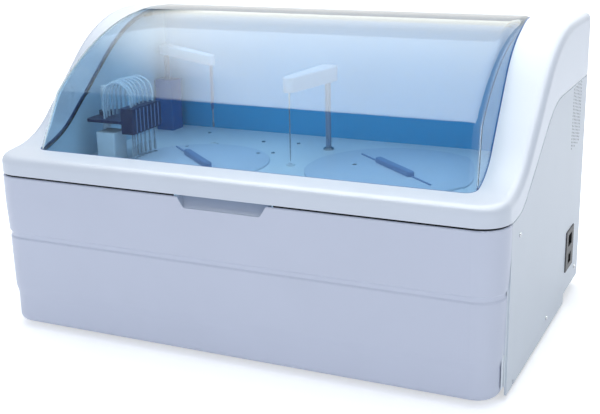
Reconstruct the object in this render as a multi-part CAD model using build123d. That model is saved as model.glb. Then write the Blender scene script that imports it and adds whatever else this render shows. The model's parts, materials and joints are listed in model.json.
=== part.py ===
from build123d import *
import math
import os

# Bench-top clinical chemistry analyzer, in millimetres.
# Case coordinates: x from the middle of the case, y from its front face, z from the
# lower edge of the skirt. save() moves every piece to the part's own frame, whose
# origin is the middle of the footprint, on the surface that the feet stand on.

# Case
WIDTH = 860.0
DEPTH = 566.0
HEIGHT = 492.0
WALL = 3.5
FRONT_CORNER_R = 44.0
REAR_CORNER_R = 20.0
TOP_EDGE_R = 14.0
FOOT_GAP = 8.0
PANEL_GAP = 0.8

# Lid profile, seen from the side
LIP_DROP = 201.0
LIP_TOP = HEIGHT - LIP_DROP
LIP_H = 29.0
LIP_SLOPE = 5.0
KNEE_Y = 109.0
KNEE_R = 150.0
RISE_ANGLE = 42.0
SHOULDER_R = 260.0

# Seam between the lid and the base
SEAM_FRONT = LIP_TOP - LIP_H
SEAM_RISE = 124.0
SEAM_REAR = SEAM_FRONT + SEAM_RISE
SEAM_KNEE_Y = 105.0
SEAM_ANGLE = 33.0
SEAM_KNEE_R = 100.0
SEAM_SHOULDER_R = 170.0
SEAM_GAP = 3.5
LID_SKIRT = 160.0

# Domed window
WINDOW_T = 3.0
WINDOW_FRONT_Y = 53.0
WINDOW_FRONT_UP = 6.0
WINDOW_FRONT_Z = LIP_TOP + WINDOW_FRONT_UP
WINDOW_FRONT_ANGLE = 64.0
BEND_DROP = 106.0
BEND_Z = HEIGHT - BEND_DROP
BEND_R = 20.0
DOME_ANGLE = 41.0
DOME_R = 425.0
WINDOW_REAR_Y = 440.0
DOME_PROUD = 2.0
WINDOW_REAR_Z = HEIGHT + DOME_PROUD
REAR_FALL = 3.2
WINDOW_BAND = 56.0
WINDOW_HALF = WIDTH / 2 - WINDOW_BAND
WINDOW_DRAFT = 5.0
CREASE_R = 17.0
WINDOW_SKIRT = 57.0
WINDOW_LOW_Z = WINDOW_FRONT_Z - WINDOW_SKIRT
FLANGE_WIDTH = 11.0
FLANGE_T = 3.0
GASKET_T = 1.2
GASKET_BEAD = 1.2

# Front panel section, as inset from the face and height
PANEL_SEAM_Y = 48.0
UPPER_BAND = 101.5
GROOVE_Z = SEAM_FRONT - SEAM_GAP - UPPER_BAND
GROOVE_HALF = 3.0
GROOVE_DEPTH = 5.0
UPPER_INSET = 2.2
MIDDLE_INSET = 3.0
STEP_Z = 50.0
STEP_RISE = 14.0
LOWER_INSET = 7.5
BOTTOM_R = 11.0
BOTTOM_RETURN = 15.0
MIDDLE_LEAN = 1.2
UPPER_FLAT = 46.0
UPPER_BOW_R = 300.0
PANEL_EDGE_R = 2.5
GROOVE_LIP_R = 4.0
GROOVE_FLOOR_R = 2.0
STEP_TOP_R = 30.0
STEP_FOOT_R = 20.0
RECESS_TOP_HALF = 82.0
RECESS_FOOT_HALF = 65.0
RECESS_DROP = 17.0
RECESS_DEPTH = 22.0
RECESS_R = 6.0
RECESS_ROOM = 8.0

# Side panels
SIDE_STEP_BACK = 132.0
SIDE_STEP_Y = DEPTH - SIDE_STEP_BACK
SIDE_STEP = 17.0
SIDE_STEP_RUN = 4.0
VENT_HOLE_R = 1.7
VENT_PITCH = 5.6
VENT_COLUMN_PITCH = 12.0
VENT_COLUMNS = 6
VENT_ROWS = 19
VENT_BACK = 128.0
VENT_Y = DEPTH - VENT_BACK
VENT_DROP = 110.0
VENT_Z = SEAM_REAR - VENT_DROP
NOTCH_Y = 84.0
NOTCH_W = 5.0
NOTCH_H = 9.0
CORNER_LAP = 4.0

# Base tray, feet and frame
TRAY_Z = 4.0
TRAY_T = 2.0
TRAY_FLANGE = 22.0
TRAY_INSET = 16.0
TRAY_TOP = TRAY_Z + TRAY_T
TRAY_SLOTS = 8
TRAY_SLOT_Y = 200.0
TRAY_SLOT_PITCH = 16.0
TRAY_SLOT_W = 5.0
TRAY_SLOT_HALF = 60.0
FOOT_R = 20.0
FOOT_EDGE = 2.0
FOOT_SIDE = 58.0
FOOT_X = WIDTH / 2 - FOOT_SIDE
FOOT_FRONT_Y = 70.0
FOOT_BACK = 56.0
FOOT_REAR_Y = DEPTH - FOOT_BACK
RAIL = 18.0
RAIL_SIDE = 22.0
RAIL_X = WIDTH / 2 - RAIL_SIDE
POST_FRONT_Y = 62.0
POST_BACK = 24.0
POST_REAR_Y = DEPTH - POST_BACK
REAR_RAIL_DROP = 14.0
REAR_RAIL_TOP = SEAM_REAR - REAR_RAIL_DROP

# Deck and working chamber
DECK_DROP = 12.0
DECK_Z = SEAM_FRONT - DECK_DROP
DECK_T = 4.0
DECK_RIM = 7.0
DECK_UNDER = DECK_Z - DECK_T
SHEET_T = 2.0
CHAMBER_SIDE = 50.0
CHAMBER_HALF = WIDTH / 2 - CHAMBER_SIDE
CHAMBER_BACK = 86.0
CHAMBER_REAR_Y = DEPTH - CHAMBER_BACK
CHAMBER_FRONT_Y = 72.0
CHAMBER_DROP = 20.0
CHAMBER_TOP = HEIGHT - CHAMBER_DROP
CHAMBER_CLEAR = 6.0
DECK_REAR_Y = CHAMBER_REAR_Y + 2 * SHEET_T
ACCESS_R = 4.5

# Reaction turntable
REACTION_X = -168.0
REACTION_BACK = 255.0
REACTION_Y = CHAMBER_REAR_Y - REACTION_BACK
REACTION_COVER_R = 125.0
COVER_LAP = 4.0
BATH_LAP = 1.0
BATH_R = REACTION_COVER_R + BATH_LAP
BATH_T = 6.0
BATH_FLOOR_GAP = 6.0
BATH_INNER_WALL = 3.0
BATH_ROOM = 5.0
BATH_CLEAR = 2.0
CUVETTE_RING_R = 113.0
CUVETTES = 60
CUVETTE_W = 7.0
CUVETTE_WALL = 1.0
CUVETTE_H = 30.0
CUVETTE_DROP = 7.0
CUVETTE_TOP = DECK_Z - CUVETTE_DROP
CUVETTE_PROUD = 4.0
BATH_LOW = CUVETTE_TOP - CUVETTE_H - BATH_FLOOR_GAP - BATH_T
DISK_T = 5.0
DISK_EDGE = 2.0
COVER_T = 3.0
COVER_EDGE = 0.8

# Reagent turntable
REAGENT_X = 170.0
REAGENT_BACK = 190.0
REAGENT_Y = CHAMBER_REAR_Y - REAGENT_BACK
REAGENT_COVER_R = 150.0
POT_R = REAGENT_COVER_R - 2.0
POT_WALL = 5.0
POT_HOLE_GAP = 2.0
POT_DEPTH = 96.0
POT_FLOOR = DECK_UNDER - POT_DEPTH
CARRIER_UP = 16.0
CARRIER_T = 4.0
CARRIER_TOP = POT_FLOOR + CARRIER_UP + CARRIER_T
CARRIER_GAP = 4.0
SPIGOT_H = 3.0
SPIGOT_T = 4.0
SPIGOT_GAP = 1.0
BOTTLE_RING_R = 116.0
BOTTLES = 24
BOTTLE_W = 21.0
BOTTLE_L = 30.0
BOTTLE_H = 62.0
BOTTLE_WALL = 2.0
BOTTLE_R = 3.0
CUP_RING_R = 74.0
CUPS = 24
CUP_R = 7.0
CUP_H = 58.0
CUP_WALL = 1.2
GRIP_ANGLE = -40.5
GRIP_L = 116.0
GRIP_W = 13.0
GRIP_H = 9.0
GRIP_END_R = 6.0
GRIP_EDGE_R = 3.0
RIB_L = 230.0
RIB_W = 3.0
RIB_H = 2.0

# Turntable drives
SPINDLE_R = 10.0
RUNNING = 0.05
SPINDLE_COLLAR = 14.0
HOUSING_R = 22.0
HOUSING_FOOT = 16.0
HOUSING_FOOT_H = 8.0
DRIVE_PULLEY_R = 40.0
MOTOR_PULLEY_R = 10.0
DRIVE_SPACING = 86.0
PULLEY_GAP = 4.0
BELT_T = 1.6
BELT_CLEAR = 0.3
BELT_EDGE = 1.0
MOTOR_W = 42.0
MOTOR_H = 40.0
MOTOR_EDGE = 4.0
MOTOR_SHAFT_R = 2.5
MOTOR_BORE_FLOOR = 6.0
STAND_H = 14.0
STAND_W = 28.0
SHAFT_PROUD = 2.0
STANDOFF = 12.0
MOTOR_TOP = TRAY_TOP + STAND_H + MOTOR_H
PULLEY_Z = MOTOR_TOP + PULLEY_GAP
PULLEY_T = 9.0

# Sample probe
PROBE_X = 8.0
PROBE_BACK = 90.0
PROBE_Y = CHAMBER_REAR_Y - PROBE_BACK
PROBE_SHAFT_R = 5.0
BUSH_T = 2.5
BUSH_FLANGE = 4.5
BUSH_PROUD = 4.0
CARRIAGE_DROP = 110.0
CARRIAGE_H = 30.0
CARRIAGE_FLOOR = 4.0
CARRIAGE_LOW = DECK_Z - CARRIAGE_DROP - CARRIAGE_H
SHAFT_LOW = CARRIAGE_LOW + CARRIAGE_FLOOR + RUNNING
CARRIAGE_HALF = 16.0
CARRIAGE_FRONT = 14.0
LIFT_RAIL_BACK = 22.0
LIFT_RAIL_T = 6.0
LIFT_RAIL_HALF = 12.0
LIFT_FOOT_HALF = 22.0
LIFT_FOOT_FRONT = 10.0
LIFT_FOOT_T = 5.0
SLIDE_GAP = 0.1
PROBE_REACH = 129.0
PROBE_REST_ANGLE = -96.7
PROBE_REAGENT_TURN = 50.0
PROBE_REACTION_TURN = 45.0
ARM_UP = 126.0
ARM_Z = DECK_Z + ARM_UP
ARM_H = 26.0
ARM_W = 34.0
ARM_TIP_W = 20.0
ARM_EDGE = 3.0
ARM_SOCKET = 4.0
NEEDLE_UP = 6.5
NEEDLE_TIP = DECK_Z + NEEDLE_UP
NEEDLE_R = 1.2
NEEDLE_POINT_R = 0.5
NEEDLE_POINT_H = 12.0
NEEDLE_SOCKET = 10.0
WELL_R = 5.0
WELL_RING_R = 7.5
WELL_BORE_R = 3.6
WELL_DEPTH = 40.0
WELL_FLOOR = 4.0
WELL_RING_H = 3.0

# Mixer
MIXER_SIDE = 23.0
MIXER_X = MIXER_SIDE - CHAMBER_HALF
MIXER_BACK = 35.0
MIXER_Y = CHAMBER_REAR_Y - MIXER_BACK
MIXER_REACH = 177.0
MIXER_REST_ANGLE = -31.5
MIXER_TURN = 17.4
MIXER_DIP = 46.0
MIXER_UP = 33.0
MIXER_TIP = DECK_Z + MIXER_UP
MIXER_ARM_UP = 148.0
MIXER_ARM_Z = DECK_Z + MIXER_ARM_UP
MIXER_ARM_H = 18.0
MIXER_ARM_W = 26.0
MIXER_ARM_TIP_W = 15.0
SLEEVE_R = 2.8
SLEEVE_UP = 34.0
PADDLE_ROD_R = 1.5
PADDLE_ROD_SOCKET = 9.0
BLADE_W = 3.6
BLADE_T = 1.0
BLADE_H = 10.0
TOWER_W = 38.0
TOWER_WALL = 3.0
TOWER_GAP = 4.0

# Wash station
NOZZLES = 7
NOZZLE_R = 1.4
NOZZLE_FOOT_R = 2.3
NOZZLE_FOOT_H = 17.0
NOZZLE_TOP = 4.0
WASH_DIP = 15.0
WASH_BLOCK_UP = 50.0
WASH_BLOCK_Z = DECK_Z + WASH_BLOCK_UP
WASH_BLOCK_H = 45.0
WASH_BLOCK_TOP = WASH_BLOCK_Z + WASH_BLOCK_H
WASH_BLOCK_W = 26.0
WASH_BLOCK_L = 94.0
WASH_ARM_UP = 67.0
WASH_ARM_Z = DECK_Z + WASH_ARM_UP
WASH_ARM_T = 5.0
WASH_ARM_END = 12.0
WASH_ARM_R = 8.0
WASH_BLOCK_R = 4.0
WASH_STOP_GAP = 1.0
WASH_HUB_T = 5.0
WASH_HUB_UP = 12.0
WASH_HUB_DOWN = 8.0
WASH_ROD_SIDE = 28.0
WASH_ROD_X = WASH_ROD_SIDE - CHAMBER_HALF
WASH_ROD_R = 7.0
WASH_ROD_H = 124.0
WASH_TOWER_SIDE = 40.0
WASH_TOWER_W = 38.0
WASH_TOWER_L = 40.0
WASH_TOWER_FRONT = 53.0
WASH_TOWER_R = 4.0
TUBE_R = 2.0
TUBE_SEAT = 0.2
TUBE_ARCH_R = 28.0
TUBE_RISE = 14.0

# Lid hinge and gas struts
HINGE_X = 300.0
HINGE_W = 80.0
HINGE_Y = DEPTH + 6.0
HINGE_BARREL_R = 5.0
HINGE_PIN_R = 2.5
LEAF_T = 2.0
LEAF_H = 34.0
HINGE_KNUCKLES = 5
KNUCKLE_GAP = 0.3
LEAF_CLEAR = 5.5
STRUT_SIDE = 25.0
STRUT_X = WIDTH / 2 - STRUT_SIDE
STRUT_FOOT_BACK = 96.0
STRUT_FOOT_Y = DEPTH - STRUT_FOOT_BACK
STRUT_FOOT_UP = 14.0
STRUT_FOOT_Z = DECK_Z + STRUT_FOOT_UP
STRUT_HEAD_BACK = 126.0
STRUT_HEAD_Y = DEPTH - STRUT_HEAD_BACK
STRUT_HEAD_DROP = 32.0
STRUT_HEAD_Z = HEIGHT - STRUT_HEAD_DROP
STRUT_NOSE = 24.0
STRUT_FLOOR = 20.0
STRUT_ROD_START = 42.0
BRACKET_T = 3.0
BRACKET_HALF = 13.0
BRACKET_SIDE = 16.0
BRACKET_FOOT = 24.0
BRACKET_FOOT_T = 2.0
BRACKET_LIP = 12.0
BRACKET_EDGE = 11.0
EYE_GAP = 0.5
STRUT_CYLINDER_R = 9.0
STRUT_ROD_R = 4.0
STRUT_EYE_R = 7.0
STRUT_EYE_W = 8.0
STUD_R = 3.0

# Rear and right-hand services
FAN_X = 170.0
FAN_DROP = 86.0
FAN_Z = DECK_UNDER - FAN_DROP
FAN_CAGE_T = 3.0
FAN_PIN_R = 2.0
FAN_PIN_L = 14.0
FAN_TIP_GAP = 1.5
FAN_BLADE_T = 1.8
FAN_BLADE_CHORD = 22.0
FAN_BLADE_TWIST = 38.0
GRILLE_RINGS = 4
GRILLE_FIRST_R = 10.0
GRILLE_PITCH = 13.0
GRILLE_HOLE_R = 4.2
AIR_SLOTS = 6
AIR_SLOT_PITCH = 14.0
AIR_SLOT_H = 5.0
AIR_SLOT_DROP = 16.0
AIR_SLOT_X = (-330.0, -210.0)
FAN_W = 120.0
FAN_T = 25.0
FAN_BORE_R = 56.0
FAN_HUB_R = 20.0
FAN_BLADES = 7
PORT_PROUD = 14.0
PORT_R = 5.0
PORT_X = (-330.0, -290.0, -250.0)
PORT_Z = 60.0
PORT_INSIDE = 20.0
PORT_FLANGE = 4.0
PORT_FLANGE_T = 3.0
PORT_NUT_T = 4.0
PORT_WALL = 2.0
PORT_HOLE_GAP = 1.2
INLET_BACK = 103.5
INLET_Y = DEPTH - INLET_BACK
INLET_W = 52.0
INLET_Z = 60.0
INLET_H = 66.0
INLET_DEPTH = 30.0
INLET_FLANGE = 3.0
INLET_GAP = 0.4
SOCKET_W = 28.0
SOCKET_H = 21.0
SOCKET_DROP = 6.0
SOCKET_DEPTH = 18.0
SOCKET_PIN_PITCH = 7.0
SOCKET_PIN_W = 2.0
SOCKET_PIN_H = 4.0
SOCKET_PIN_IN = 4.0
SOCKET_EARTH_UP = 5.0
ROCKER_W = 22.0
ROCKER_H = 16.0
ROCKER_UP = 16.0
ROCKER_IN = 5.0
ROCKER_GAP = 0.6
ROCKER_ROOM = 1.2
ROCKER_PIVOT_R = 1.5
ROCKER_PIVOT_IN = 3.0
ROCKER_WELL = 12.0
ROCKER_BACK = 9.0
ROCKER_TAPER = 2.0
ROCKER_LOW_PROUD = -0.6
ROCKER_TOP_PROUD = 1.6
ROCKER_DISH = 1.8
SCREW_HEAD_R = 3.6
SCREW_HEAD_H = 1.8
SIDE_SCREWS = ((94.0, SEAM_FRONT - 32.0), (300.0, 24.0), (DEPTH - 46.0, 40.0))
REAR_SCREW_X = (40.0 - WIDTH / 2, -130.0, 60.0, WIDTH / 2 - 40.0)
REAR_SCREW_Z = (30.0, SEAM_REAR - 46.0)
DECK_SCREWS = (
    (-261.0, 47.0), (-129.0, 78.0), (-61.0, 70.0), (-74.0, 150.0), (340.0, 380.0),
    (-345.0, 370.0),
)
BUMPER_SIDE = 22.0
BUMPER_X = WIDTH / 2 - BUMPER_SIDE
BUMPER_Y = 56.0
BUMPER_R = 6.0

# Dosing pump, from the tray upwards
SYRINGE_X = 330.0
SYRINGE_Y = 110.0
SYRINGE_STROKE = 40.0
SYRINGE_BACK_W = 50.0
SYRINGE_BACK_T = 20.0
BARREL_UP = 104.0
BARREL_LOW = TRAY_TOP + BARREL_UP
BARREL_H = 58.0
BARREL_R = 8.0
BARREL_WALL = 2.0
BARREL_CAP = 8.0
CLAMP_H = 8.0
CLAMP_HALF = 12.0
PUMP_HEAD_H = 18.0
PUMP_HEAD_HALF = 18.0
PUMP_HEAD_FRONT = 14.0
PUMP_GAP = 10.0
PLUNGER_R = 3.0
SEAL_UP = 2.0
SEAL_H = 6.0
YOKE_H = 10.0
YOKE_HALF = 14.0
YOKE_DROP = SYRINGE_STROKE + SEAL_UP

# Photometer beside the bath
PHOTOMETER_L = 90.0
PHOTOMETER_W = 60.0
PHOTOMETER_IN = 9.0
PHOTOMETER_H = 65.0
PHOTOMETER_LAP = 14.0
LAMP_R = 18.0
LAMP_L = 35.0

# Power supply, control board and pumps
SUPPLY_X = (232.0, 372.0)
SUPPLY_L = 120.0
SUPPLY_H = 90.0
SUPPLY_BACK = 46.0
SUPPLY_SLOTS = 9
SUPPLY_SLOT_PITCH = 13.0
SUPPLY_SLOT_W = 4.0
SUPPLY_SLOT_EDGE = 16.0
SUPPLY_SLOT_DEPTH = 2.0
BOARD_X = -385.0
BOARD_Y = 84.0
BOARD_L = 160.0
BOARD_W = 110.0
BOARD_T = 2.0
BOARD_UP = 24.0
PILLAR_R = 3.0
PILLAR_IN = 10.0
BOARD_PARTS = (
    (30.0, 32.0, 40.0, 40.0, 4.0), (86.0, 62.0, 28.0, 36.0, 12.0), (96.0, 20.0, 40.0, 14.0, 10.0),
)
PUMPS = 3
PUMP_PLATE_X = -140.0
PUMP_PLATE_L = 200.0
PUMP_PLATE_W = 80.0
PUMP_PLATE_T = 4.0
PUMP_BACK = 56.0
PUMP_EDGE = 34.0
PUMP_PITCH = 66.0
PUMP_R = 24.0
PUMP_UP = 36.0
PUMP_FOOT_HALF = 16.0
PUMP_FOOT_H = 20.0
PUMP_SPOUT_R = 12.0
PUMP_SPOUT_L = 11.0

WHOLE_DEPTH = DEPTH + PORT_PROUD
TO_PART_FRAME = Pos(0, -WHOLE_DEPTH / 2, FOOT_GAP)


def save(shape, name):
    """Write one piece in the part's own frame."""
    export_step(TO_PART_FRAME * shape, f"parts/{name}.step")


def block(x0, x1, y0, y1, z0, z1):
    """Box between two corners."""
    return Pos((x0 + x1) / 2, (y0 + y1) / 2, (z0 + z1) / 2) * Box(x1 - x0, y1 - y0, z1 - z0)


def upright(x, y, z0, z1, radius):
    """Vertical cylinder."""
    return Pos(x, y, (z0 + z1) / 2) * Cylinder(radius, z1 - z0)


def along_y(x, z, y0, y1, radius):
    """Cylinder from front to rear."""
    return Pos(x, (y0 + y1) / 2, z) * Rot(90, 0, 0) * Cylinder(radius, y1 - y0)


def along_x(y, z, x0, x1, radius):
    """Cylinder from left to right."""
    return Pos((x0 + x1) / 2, y, z) * Rot(0, 90, 0) * Cylinder(radius, x1 - x0)


def mirrored(shape):
    """The shape and its mirror image across the middle of the case."""
    return [shape, mirror(shape, about=Plane.YZ)]


def fuse(pieces):
    """One solid from several that touch."""
    whole = pieces[0]
    for piece in pieces[1:]:
        whole = whole + piece
    return whole


def polar(x, y, radius, angle):
    """Point at a radius and an angle in degrees from a centre."""
    turn = math.radians(angle)
    return x + radius * math.cos(turn), y + radius * math.sin(turn)


def meet(first, second):
    """Crossing of two lines, each a point and a direction."""
    (px, py), (dx, dy) = first
    (qx, qy), (ex, ey) = second
    cross = dx * ey - dy * ex
    along = ((qx - px) * ey - (qy - py) * ex) / cross
    return px + along * dx, py + along * dy


def inset(corners, depth, kept=()):
    """Move the sides of an anticlockwise outline inwards, except the kept ones.

    A corner is u, v and its radius, and side i runs from corner i to the next one.
    """
    sides = []
    for i, (u, v, _) in enumerate(corners):
        nu, nv, _ = corners[(i + 1) % len(corners)]
        length = math.hypot(nu - u, nv - v)
        du, dv = (nu - u) / length, (nv - v) / length
        shift = 0 if i in kept else depth
        sides.append(((u - dv * shift, v + du * shift), (du, dv)))
    moved = []
    for i, (_, _, radius) in enumerate(corners):
        before, after = sides[i - 1], sides[i]
        turn = before[1][0] * after[1][1] - before[1][1] * after[1][0]
        u, v = meet(before, after)
        grown = radius - depth if turn > 0 else radius + depth
        moved.append((u, v, max(grown, 0) if radius else 0))
    return moved


def face_of(corners, plane=Plane.XY):
    """Closed face whose corners are rounded by tangent arcs."""
    arcs = []
    for i, (u, v, radius) in enumerate(corners):
        corner = Vector(u, v)
        back = (Vector(*corners[i - 1][:2]) - corner).normalized()
        ahead = (Vector(*corners[(i + 1) % len(corners)][:2]) - corner).normalized()
        half = math.radians(back.get_angle(ahead)) / 2
        reach = radius / math.tan(half)
        inwards = (back + ahead).normalized()
        middle = corner + inwards * (radius / math.sin(half) - radius)
        arcs.append((corner + back * reach, middle, corner + ahead * reach, radius))
    edges = []
    for i, (start, middle, end, radius) in enumerate(arcs):
        if radius:
            edges.append(ThreePointArc(start, middle, end))
        following = arcs[(i + 1) % len(arcs)][0]
        if (following - end).length > 1e-6:
            edges.append(Line(end, following))
    return plane * make_face(edges)


def case_plan(depth=0.0):
    """Plan outline of the case."""
    half = WIDTH / 2
    corners = [
        (-half, 0, FRONT_CORNER_R),
        (half, 0, FRONT_CORNER_R),
        (half, DEPTH, REAR_CORNER_R),
        (-half, DEPTH, REAR_CORNER_R),
    ]
    return inset(corners, depth)


def seam_line(drop=0.0):
    """Seam from front to rear as corners of y, z and radius, lowered by a gap."""
    slope = math.tan(math.radians(SEAM_ANGLE))
    shoulder_y = SEAM_KNEE_Y + (SEAM_REAR - SEAM_FRONT) / slope
    bend = drop * math.tan(math.radians(SEAM_ANGLE / 2))
    return [
        (SEAM_KNEE_Y + bend, SEAM_FRONT - drop, SEAM_KNEE_R + drop),
        (shoulder_y + bend, SEAM_REAR - drop, SEAM_SHOULDER_R - drop),
    ]


def seam_height(y):
    """Height of the seam at a depth, without its rounded bends."""
    rise = (y - SEAM_KNEE_Y) * math.tan(math.radians(SEAM_ANGLE))
    return min(max(SEAM_FRONT, SEAM_FRONT + rise), SEAM_REAR)


def lid_profile(depth=0.0, drop=0.0):
    """Side view of the lid, its lower side on the seam or dropped below it."""
    lip = math.tan(math.radians(LIP_SLOPE))
    rise = math.tan(math.radians(RISE_ANGLE))
    knee_z = LIP_TOP + KNEE_Y * lip
    shoulder_y = KNEE_Y + (HEIGHT - knee_z) / rise
    near, far = seam_line()
    corners = [
        (0, SEAM_FRONT - drop, 0),
        (near[0], near[1] - drop, near[2]),
        (far[0], far[1] - drop, far[2]),
        (DEPTH, SEAM_REAR - drop, 0),
        (DEPTH, HEIGHT, 0),
        (shoulder_y, HEIGHT, SHOULDER_R),
        (KNEE_Y, knee_z, KNEE_R),
        (0, LIP_TOP, 0),
    ]
    return inset(corners, depth, kept=(0, 1, 2))


def on_case_wall(x, y, depth):
    """True where a plan point lies on the case outline moved inwards by a depth."""
    half = WIDTH / 2 - depth
    radius = (FRONT_CORNER_R if y < DEPTH / 2 else REAR_CORNER_R) - depth
    u = max(abs(x) - (half - radius), 0)
    low, high = depth + radius, DEPTH - depth - radius
    v = max(low - y, y - high, 0)
    return abs(math.hypot(u, v) - radius) < 0.05


def lid_block(depth=0.0, drop=0.0):
    """Solid under the lid's surface, with its upper edge rounded all round."""
    side = extrude(face_of(lid_profile(depth, drop), Plane.YZ), WIDTH / 2, both=True)
    plan = extrude(face_of(case_plan(depth)), HEIGHT + 10)
    solid = side & plan
    rim = []
    for edge in solid.edges():
        middle = edge.position_at(0.5)
        steep = abs(edge.tangent_at(0.5).Z) > 0.95
        high = middle.Z > seam_height(middle.Y) + TOP_EDGE_R
        if high and not steep and on_case_wall(middle.X, middle.Y, depth):
            rim.append(edge)
    return fillet(rim, TOP_EDGE_R - depth)


def window_profile(depth=0.0):
    """Side view of the domed window, closed below the lid's surface."""
    front = math.radians(WINDOW_FRONT_ANGLE)
    dome = math.radians(DOME_ANGLE)
    fall = math.radians(REAR_FALL)
    foot_y = WINDOW_FRONT_Y - (WINDOW_FRONT_Z - WINDOW_LOW_Z) / math.tan(front)
    bend_y = WINDOW_FRONT_Y + (BEND_Z - WINDOW_FRONT_Z) / math.tan(front)
    ridge = meet(
        ((bend_y, BEND_Z), (math.cos(dome), math.sin(dome))),
        ((WINDOW_REAR_Y, WINDOW_REAR_Z), (-math.cos(fall), math.sin(fall))),
    )
    corners = [
        (foot_y, WINDOW_LOW_Z, 0),
        (WINDOW_REAR_Y, WINDOW_LOW_Z, 0),
        (WINDOW_REAR_Y, WINDOW_REAR_Z, 0),
        (ridge[0], ridge[1], DOME_R),
        (bend_y, BEND_Z, BEND_R),
    ]
    return inset(corners, depth, kept=(0,))


def window_half(z, depth=0.0):
    """Half width of the window at a height."""
    draft = math.radians(WINDOW_DRAFT)
    return WINDOW_HALF - (z - WINDOW_FRONT_Z) * math.tan(draft) - depth / math.cos(draft)


def window_block(depth=0.0):
    """Solid under the window's surface, with its side creases rounded."""
    high = HEIGHT + 60
    low_half, high_half = window_half(WINDOW_LOW_Z, depth), window_half(high, depth)
    ends = [
        (-low_half, WINDOW_LOW_Z, 0),
        (low_half, WINDOW_LOW_Z, 0),
        (high_half, high, 0),
        (-high_half, high, 0),
    ]
    side = extrude(face_of(window_profile(depth), Plane.YZ), WIDTH / 2, both=True)
    front = extrude(face_of(ends, Plane.XZ), -DEPTH)
    solid = side & front
    creases = []
    for edge in solid.edges():
        middle = edge.position_at(0.5)
        on_side = abs(abs(middle.X) - window_half(middle.Z, depth)) < 0.05
        rear = middle.Y > WINDOW_REAR_Y - depth - 0.1
        if on_side and middle.Z > WINDOW_LOW_Z + 1 and not rear:
            creases.append(edge)
    return fillet(creases, CREASE_R - depth)


def make_lid():
    """Lid shell, window and gasket."""
    outer = lid_block()
    seat = lid_block(WALL)
    under_gasket = lid_block(WALL + GASKET_T)
    under_flange = lid_block(WALL + GASKET_T + FLANGE_T, LID_SKIRT)
    pane = window_block()
    opening = window_block(-GASKET_BEAD)
    flange_edge = window_block(-FLANGE_WIDTH)
    hollow = window_block(WINDOW_T)
    shell = outer - lid_block(WALL, LID_SKIRT) - opening
    dome = pane - hollow - under_flange
    flange = (under_gasket - under_flange) & flange_edge
    window = dome + (flange - hollow)
    gasket = ((seat - under_gasket) & flange_edge) - pane
    bead = ((outer - seat) & opening) - pane
    return shell, window, gasket + bead


def make_front_panel():
    """Front panel that wraps both front corners, with its finger recess."""
    top = SEAM_FRONT - SEAM_GAP
    skirt = MIDDLE_INSET + MIDDLE_LEAN
    section = [
        (0, top, PANEL_EDGE_R),
        (0, top - UPPER_FLAT, UPPER_BOW_R),
        (UPPER_INSET, GROOVE_Z + 2 * GROOVE_HALF, GROOVE_LIP_R),
        (GROOVE_DEPTH, GROOVE_Z + GROOVE_HALF, GROOVE_FLOOR_R),
        (GROOVE_DEPTH, GROOVE_Z - GROOVE_HALF, GROOVE_FLOOR_R),
        (MIDDLE_INSET, GROOVE_Z - 2 * GROOVE_HALF, GROOVE_LIP_R),
        (skirt, STEP_Z + STEP_RISE, STEP_TOP_R),
        (LOWER_INSET, STEP_Z, STEP_FOOT_R),
        (LOWER_INSET, 0, BOTTOM_R),
        (LOWER_INSET + BOTTOM_RETURN, 0, 0),
        (LOWER_INSET + BOTTOM_RETURN, WALL, 0),
        (LOWER_INSET + WALL, WALL, BOTTOM_R - WALL),
        (LOWER_INSET + WALL, STEP_Z, STEP_FOOT_R),
        (skirt + WALL, STEP_Z + STEP_RISE, STEP_TOP_R),
        (GROOVE_DEPTH + WALL, GROOVE_Z - 3 * GROOVE_HALF, GROOVE_LIP_R),
        (GROOVE_DEPTH + WALL, GROOVE_Z + 3 * GROOVE_HALF, GROOVE_LIP_R),
        (WALL, top - UPPER_FLAT, UPPER_BOW_R),
        (WALL, top, 0),
    ]
    middle = WIDTH / 2 - FRONT_CORNER_R
    profile = face_of(section, Plane.YZ)
    straight = extrude(profile, middle, both=True)
    pieces = [straight]
    for side in (-1, 1):
        axis = Axis((side * middle, FRONT_CORNER_R, 0), (0, 0, 1))
        corner = revolve(Pos(side * middle, 0, 0) * profile, axis, side * 90)
        pieces.append(corner)
        end = corner.faces().sort_by(Axis.Y)[-1]
        pieces.append(extrude(end, PANEL_SEAM_Y - FRONT_CORNER_R, dir=(0, 1, 0)))
    panel = fuse(pieces)
    mouth = [
        (-RECESS_FOOT_HALF, top - RECESS_DROP, RECESS_R),
        (RECESS_FOOT_HALF, top - RECESS_DROP, RECESS_R),
        (RECESS_TOP_HALF, top + 10, 0),
        (-RECESS_TOP_HALF, top + 10, 0),
    ]
    scoop = extrude(face_of(inset(mouth, -SHEET_T), Plane.XZ), -RECESS_DEPTH)
    scoop = scoop - block(-WIDTH / 2, WIDTH / 2, -1, WALL, 0, HEIGHT)
    scoop = scoop - block(-WIDTH / 2, WIDTH / 2, 0, DEPTH, top, HEIGHT)
    ramp = [
        (-5, top - RECESS_DROP, 0),
        (2, top - RECESS_DROP, 0),
        (RECESS_DEPTH - SHEET_T, top + 1, 0),
        (-5, top + 1, 0),
    ]
    hollow = extrude(face_of(ramp, Plane.YZ), RECESS_TOP_HALF + 10, both=True)
    hollow = hollow & extrude(face_of(mouth, Plane.XZ), -DEPTH, both=True)
    return (panel + scoop) - hollow


def vent_holes(inside, outside):
    """Staggered round holes through the right-hand wall."""
    holes = []
    for column in range(VENT_COLUMNS):
        y = VENT_Y + column * VENT_COLUMN_PITCH
        lift = VENT_PITCH / 2 * (column % 2)
        for row in range(VENT_ROWS):
            z = VENT_Z + lift + row * VENT_PITCH
            holes.append(along_x(y, z, inside, outside, VENT_HOLE_R))
    return holes


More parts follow.
